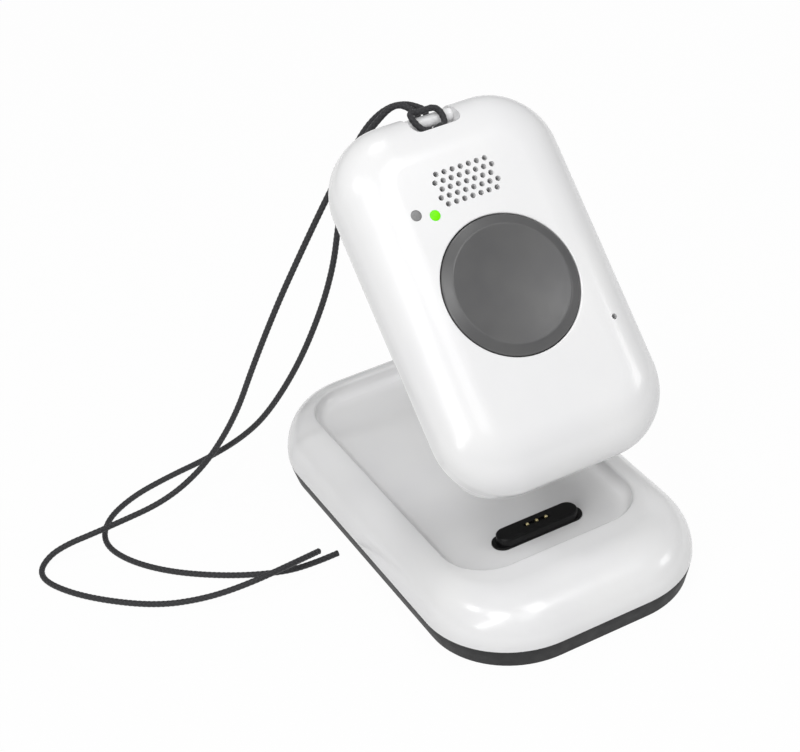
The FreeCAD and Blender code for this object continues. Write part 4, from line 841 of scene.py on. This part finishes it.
# %% Material: satin grey ABS
satin_grey = surface("button_grey_abs_satin", ("575758", "5d5d5d", 8, 2.0), (0.34, 0.42, 3, 3.0),
                     (0.006, 0.3, 2.0, 0.5), IOR=1.5)

# %% Help button cap
RIM_R, BUTTON_RIM_Z, DISH_DEPTH = 10.8, 15.9, 0.9
CAP_FLANGE_LOW, CAP_FLANGE_TOP, CAP_INSIDE_Z = 12.1, 13.0, 13.8
CAP_R, CAP_INSIDE_R, CAP_FLANGE_R = 12.67, 9.6, 14.05
dish_r = (RIM_R ** 2 + DISH_DEPTH ** 2) / (2 * DISH_DEPTH)
dish = [(r, BUTTON_RIM_Z - DISH_DEPTH + dish_r - math.sqrt(dish_r ** 2 - r * r))
        for r in (9.8, 9, 8, 6.5, 5, 3.5, 2, 1, POLE)]
slope = [(CAP_R, 14.85), (12.63, 15.0), (12.5, 15.12), (12.3, 15.22)]
rim = [(11.3, 15.67), (11.0, 15.80), (10.8, 15.865), (10.6, 15.855), (10.3, 15.80)]
skirt = [(POLE, CAP_INSIDE_Z), (CAP_INSIDE_R, CAP_INSIDE_Z), (CAP_INSIDE_R, CAP_FLANGE_LOW),
         (CAP_FLANGE_R, CAP_FLANGE_LOW), (CAP_FLANGE_R, CAP_FLANGE_TOP), (CAP_R, CAP_FLANGE_TOP)]
button = turned("help_button_cap", skirt + slope + rim + dish, 0, BUTTON_Y, 160, satin_grey)
place(button, "help_button", "help_button", "button_dark_grey", angle=24)

# %% [markdown]
# ## Status lights
# Two light pipes of clear plastic reach from the lamps on the board to the face. The left one is
# off and shows the grey of its milky end, and the right one is lit green.

# %% Materials and light pipes
PIPE_R, PIPE_LOW, PIPE_EDGE = 0.97, 7.85, 0.12
pipe_gloss = (0.25, 0.35, 0.4, 2.0)
pipe_grey = surface("light_pipe_milky_unlit", ("828283", "8c8c8c", 0.8, 2.0), pipe_gloss,
                    **{"IOR": 1.58, "Specular IOR Level": 0.2})
pipe_green = surface("light_pipe_milky_lit_green", ("3fae00", "55c800", 0.8, 2.0), pipe_gloss,
                     **{"IOR": 1.58, "Specular IOR Level": 0.15, "Emission Strength": 0.5,
                        "Emission Color": colour("86e800")})
pipe_profile = [(PIPE_R, PIPE_LOW)] + rounded_top(PIPE_R, FACE_Z, PIPE_EDGE, 4) + [(POLE, FACE_Z)]
for side, material, slot in (("left", pipe_grey, "window_grey"), ("right", pipe_green, "window_green")):
    pipe = turned("light_pipe_" + side, pipe_profile, *windows[side], 40, material)
    place(pipe, "pendant", "status_window_" + side, slot)

# %% [markdown]
# ## What the shells hide
# The boards, the battery, the speaker and the other inner parts keep their CAD shapes, which are
# right as they are, and get their real surfaces here. Most share one recipe: a colour that drifts,
# a gloss that drifts three times as finely, and grains of a given size.

# %% A recipe for everyday surfaces
def everyday(name, dark, light, drift_mm, gloss, grain_mm, depth_mm, **fixed):
    """Colour and gloss drift over drift_mm; grains of grain_mm stand depth_mm proud."""
    return surface(name, (dark, light, drift_mm, 2.0), (*gloss, drift_mm / 3, 3.0),
                   (depth_mm, grain_mm, 2.0, 0.5), **fixed)


def dress(material, *nodes):
    """Gives CAD pieces a material, and smooths their round faces."""
    for node in nodes:
        mesh = bpy.data.objects[node].data
        mesh.materials.clear()
        mesh.materials.append(material)
        mesh.shade_smooth()
        mesh.set_sharp_from_angle(angle=math.radians(30))
    print(material.name, "on", ", ".join(nodes))


# %% [markdown]
# Metals. The ballast plate and the screws are zinc-plated steel, rolled and then barrel-plated, so
# they look grey and a little cloudy. The shield cans and the inlet are tin-plated sheet, drawn in a
# press, brighter. Magnets are nickel-plated by the barrel; springs are bare drawn wire, darker.

# %% Materials: metals
zinc_steel = everyday("steel_zinc_plated", "a4a6aa", "bcbec1", 5, (0.3, 0.42), 0.5, 0.008, Metallic=1.0)
tin_sheet = everyday("tin_plated_sheet", "c2c3c4", "d2d3d3", 6, (0.2, 0.3), 0.8, 0.006, Metallic=1.0)
nickel = everyday("nickel_plated_magnet", "b9b4a8", "c9c4b8", 4, (0.16, 0.26), 0.6, 0.005, Metallic=1.0)
spring_wire = everyday("spring_wire_drawn", "7e7f82", "8e8f92", 0.6, (0.25, 0.38), 0.1, 0.004,
                       Metallic=1.0)
dress(zinc_steel, "cradle_ballast_plate", "cradle_screws", "pendant_screws")
dress(tin_sheet, "cell_modem", "microphone")
dress(nickel, "cradle_magnets", "pendant_magnets")
dress(gold, "pogo_barrels", "charge_contacts")

# %% [markdown]
# ## Spring pins' springs
# A compression spring is wound with its last turn closed at each end, so that it stands square in
# the barrel. The wire follows that helix in a Geometry Nodes tree.

# %% Coil springs
WIRE = 0.12
drawn, sizes = geometry_tree("drawn_wire", Radius=WIRE / 2 * MM, Around=10)
wire_line = add(drawn, "GeometryNodeMeshToCurve", {0: sizes["Geometry"]})
wire_section = add(drawn, "GeometryNodeCurvePrimitiveCircle",
                   {"Resolution": sizes["Around"], "Radius": sizes["Radius"]})
wire_tube = add(drawn, "GeometryNodeCurveToMesh",
                {"Curve": wire_line, "Profile Curve": wire_section, "Fill Caps": True})
wire_smooth = add(drawn, "GeometryNodeSetShadeSmooth", {"Geometry": wire_tube})
finish_tree(drawn, wire_smooth, sizes["Material"])


def helix(x, low, high, turns=9, radius=0.33, steps=24):
    """A line of edges along a spring whose first and last turn lie closed, in mm."""
    pitch = (high - low - 2 * WIRE) / (turns - 2)
    places = []
    for i in range(turns * steps + 1):
        t = i / steps
        z = low + WIRE * (min(t, 1) + max(0, t - turns + 1)) + pitch * max(0, min(t, turns - 1) - 1)
        places.append(Vector((x + radius * math.cos(2 * math.pi * t),
                              CONNECTOR_Y + radius * math.sin(2 * math.pi * t), z)) * MM)
    line = bpy.data.meshes.new("helix")
    line.from_pydata(places, [(i, i + 1) for i in range(len(places) - 1)], [])
    return line


for side, x in pin_x.items():
    node = "pogo_spring_" + side
    low, high = (c.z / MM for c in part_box(node))
    coil = helix(x, low + WIRE / 2, high - WIRE / 2)
    spring = run_tree(drawn, coil, spring_wire, "coil_spring_" + side)
    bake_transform(spring)
    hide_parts(node)
    print(spring.name, len(spring.data.polygons), "faces,", round(high - low, 2), "mm long")

# %% [markdown]
# ## Power inlet
# At the rear a flat shell of tin-plated sheet is open to the outside. A black tongue stands in it
# and carries five gold contacts on each side. They are drawn lying on their back, then turned.

# %% Power inlet
UPRIGHT = Matrix.Rotation(math.radians(90), 4, "X")
low, high = (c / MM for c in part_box("cradle_power_inlet"))
middle = (low.z + high.z) / 2
CAN_SHEET, CAN_EDGE, CAN_CORNER = 0.35, 0.06, 0.7
TONGUE_X, TONGUE_THICK, TONGUE_CORNER = 1.95, 0.28, 0.14
CONTACT_PITCH, CONTACT_IN = 0.7, 2.6
shell_profile = [(-CAN_EDGE, -low.y), (0, -low.y - CAN_EDGE), (0, CAN_EDGE - high.y),
                 (-CAN_EDGE, -high.y), (CAN_EDGE - CAN_SHEET, -high.y),
                 (-CAN_SHEET, CAN_EDGE - high.y), (-CAN_SHEET, -low.y - CAN_SHEET)]
inlet_can = even_stack("power_inlet_can", high.x, low.z, high.z, CAN_CORNER, shell_profile, tin_sheet,
                       arc=8, side=2, end=2)
inlet_tongue_profile = [(0, -low.y - 0.3)] + [(g, inside - high.y) for g, inside in
                                              ((0, 0.82), (-0.04, 0.74), (-0.12, 0.7))]
tongue = even_stack("power_inlet_tongue", TONGUE_X, middle - TONGUE_THICK, middle + TONGUE_THICK,
                    TONGUE_CORNER, inlet_tongue_profile, black_nylon, arc=4, side=2, end=1)
strips, sizes = geometry_tree("contact_row", Width=0.26 * MM, Length=3.2 * MM, Height=0.04 * MM)
block = add(strips, "ShaderNodeCombineXYZ", {0: sizes["Width"], 1: sizes["Height"], 2: sizes["Length"]})
strip = add(strips, "GeometryNodeMeshCube", {"Size": block})
row = add(strips, "GeometryNodeInstanceOnPoints", {"Points": sizes["Geometry"], "Instance": strip})
finish_tree(strips, row, sizes["Material"])
places = bpy.data.meshes.new("contact_places")
places.from_pydata([Vector((CONTACT_PITCH * i, middle + side * TONGUE_THICK, CONTACT_IN - high.y)) * MM
                    for i in range(-2, 3) for side in (-1, 1)], [], [])
contacts = run_tree(strips, places, gold, "power_inlet_contacts")
for piece, name in ((inlet_can, "shield_can"), (tongue, "connector_black"), (contacts, "gold")):
    piece.data.transform(UPRIGHT)
    place(piece, "cradle", "cradle_power_inlet", name)

# %% [markdown]
# A circuit board is green because of its solder mask, a thin lacquer over the copper. The tracks
# beneath it show as lighter lines with square turns, which a cell pattern measured along the two
# axes gives. Chips are black epoxy, pressed in a mould with a matt finish.

# %% Materials: boards and chips
TRACK_PITCH = 1.7
solder_mask, tree, shader = new_material("circuit_board_solder_mask",
                                         **{"IOR": 1.5, "Coat Weight": 0.3})
on_board = add(tree, "ShaderNodeTexCoord").outputs["Object"]
cells = [add(tree, "ShaderNodeTexVoronoi", {"Vector": on_board, "Scale": 1 / (TRACK_PITCH * MM)},
             feature=feature, distance="CHEBYCHEV").outputs["Distance"] for feature in ("F2", "F1")]
between = add(tree, MATH, {0: cells[0], 1: cells[1]}, operation="SUBTRACT")
line = add(tree, "ShaderNodeMapRange", {"Value": between, "From Min": 0.1, "From Max": 0.16,
                                        "To Min": 0.7, "To Max": 0.3})
vary(tree, shader, "Base Color", line, "0e4a2c", "1c6a40")
vary(tree, shader, "Roughness", grain(tree, 2), 0.28, 0.4)
relief(tree, shader, line, 0.03, 0.6)
epoxy = everyday("chip_black_epoxy", "141415", "1d1d1f", 2, (0.5, 0.65), 0.12, 0.01, IOR=1.55)
dress(solder_mask, "cradle_circuit_board", "pendant_circuit_board")
dress(epoxy, "cradle_board_parts", "help_switch")

# %% [markdown]
# Soft parts are silicone, cast matt: the seal is pale grey, and the boots round the button and the
# microphone are dark. The speaker has a black frame, and behind the shell's holes lies a woven mesh
# of blackened steel wire, whose crossing wires keep dust out. It shows as darkness in the holes.

# %% Materials: silicone, speaker and mesh
MESH_PITCH, WAVE_AT_SCALE_1 = 0.2, 0.314  # the length of one wave where the wave texture's scale is 1
seal_silicone = everyday("seal_silicone_grey", "8f9092", "9b9c9e", 3, (0.55, 0.7), 0.4, 0.02, IOR=1.43)
speaker_frame = everyday("speaker_black_frame", "171718", "202022", 2, (0.45, 0.6), 0.3, 0.01, IOR=1.5)
mesh_steel, tree, shader = new_material("speaker_mesh_blackened_steel", Metallic=0.6)
on_mesh = add(tree, "ShaderNodeTexCoord").outputs["Object"]
warp, weft = (add(tree, "ShaderNodeTexWave",
                  {"Vector": on_mesh, "Scale": WAVE_AT_SCALE_1 / (MESH_PITCH * MM)},
                  bands_direction=way).outputs["Fac"] for way in "XY")
wires = add(tree, MATH, {0: warp, 1: weft}, operation="MAXIMUM")
vary(tree, shader, "Base Color", wires, "050505", "141415")
vary(tree, shader, "Roughness", grain(tree, 1), 0.45, 0.6)
relief(tree, shader, wires, 0.05, 0.8)
dress(seal_silicone, "pendant_seal")
dress(silicone, "help_button_boot", "microphone_boot")
dress(speaker_frame, "speaker", "help_switch_plunger")
dress(mesh_steel, "speaker_mesh")

# %% [markdown]
# The battery is a pouch of aluminium foil between plastic films: satin silver with shallow creases.
# The aerials are sintered ceramic, chalky and pale, and the status lamps are milky cast resin.

# %% Materials: battery, ceramic and lamp resin
foil = surface("battery_pouch_foil", ("a9acb0", "bdc0c4", 9, 2.0), (0.28, 0.42, 2, 2.0),
               (0.12, 5, 4.0, 0.7), **{"Metallic": 0.85, "Coat Weight": 0.2})
ceramic = everyday("aerial_ceramic_sintered", "cfc8b6", "dad4c4", 3, (0.45, 0.6), 0.2, 0.01, IOR=1.7)
lamp_resin = everyday("lamp_resin_milky", "d9d9d2", "e4e4de", 1.5, (0.2, 0.35), 0.3, 0.005, IOR=1.54)
dress(foil, "battery")
dress(ceramic, "satellite_antenna", "cell_antenna")
dress(lamp_resin, "status_leds")
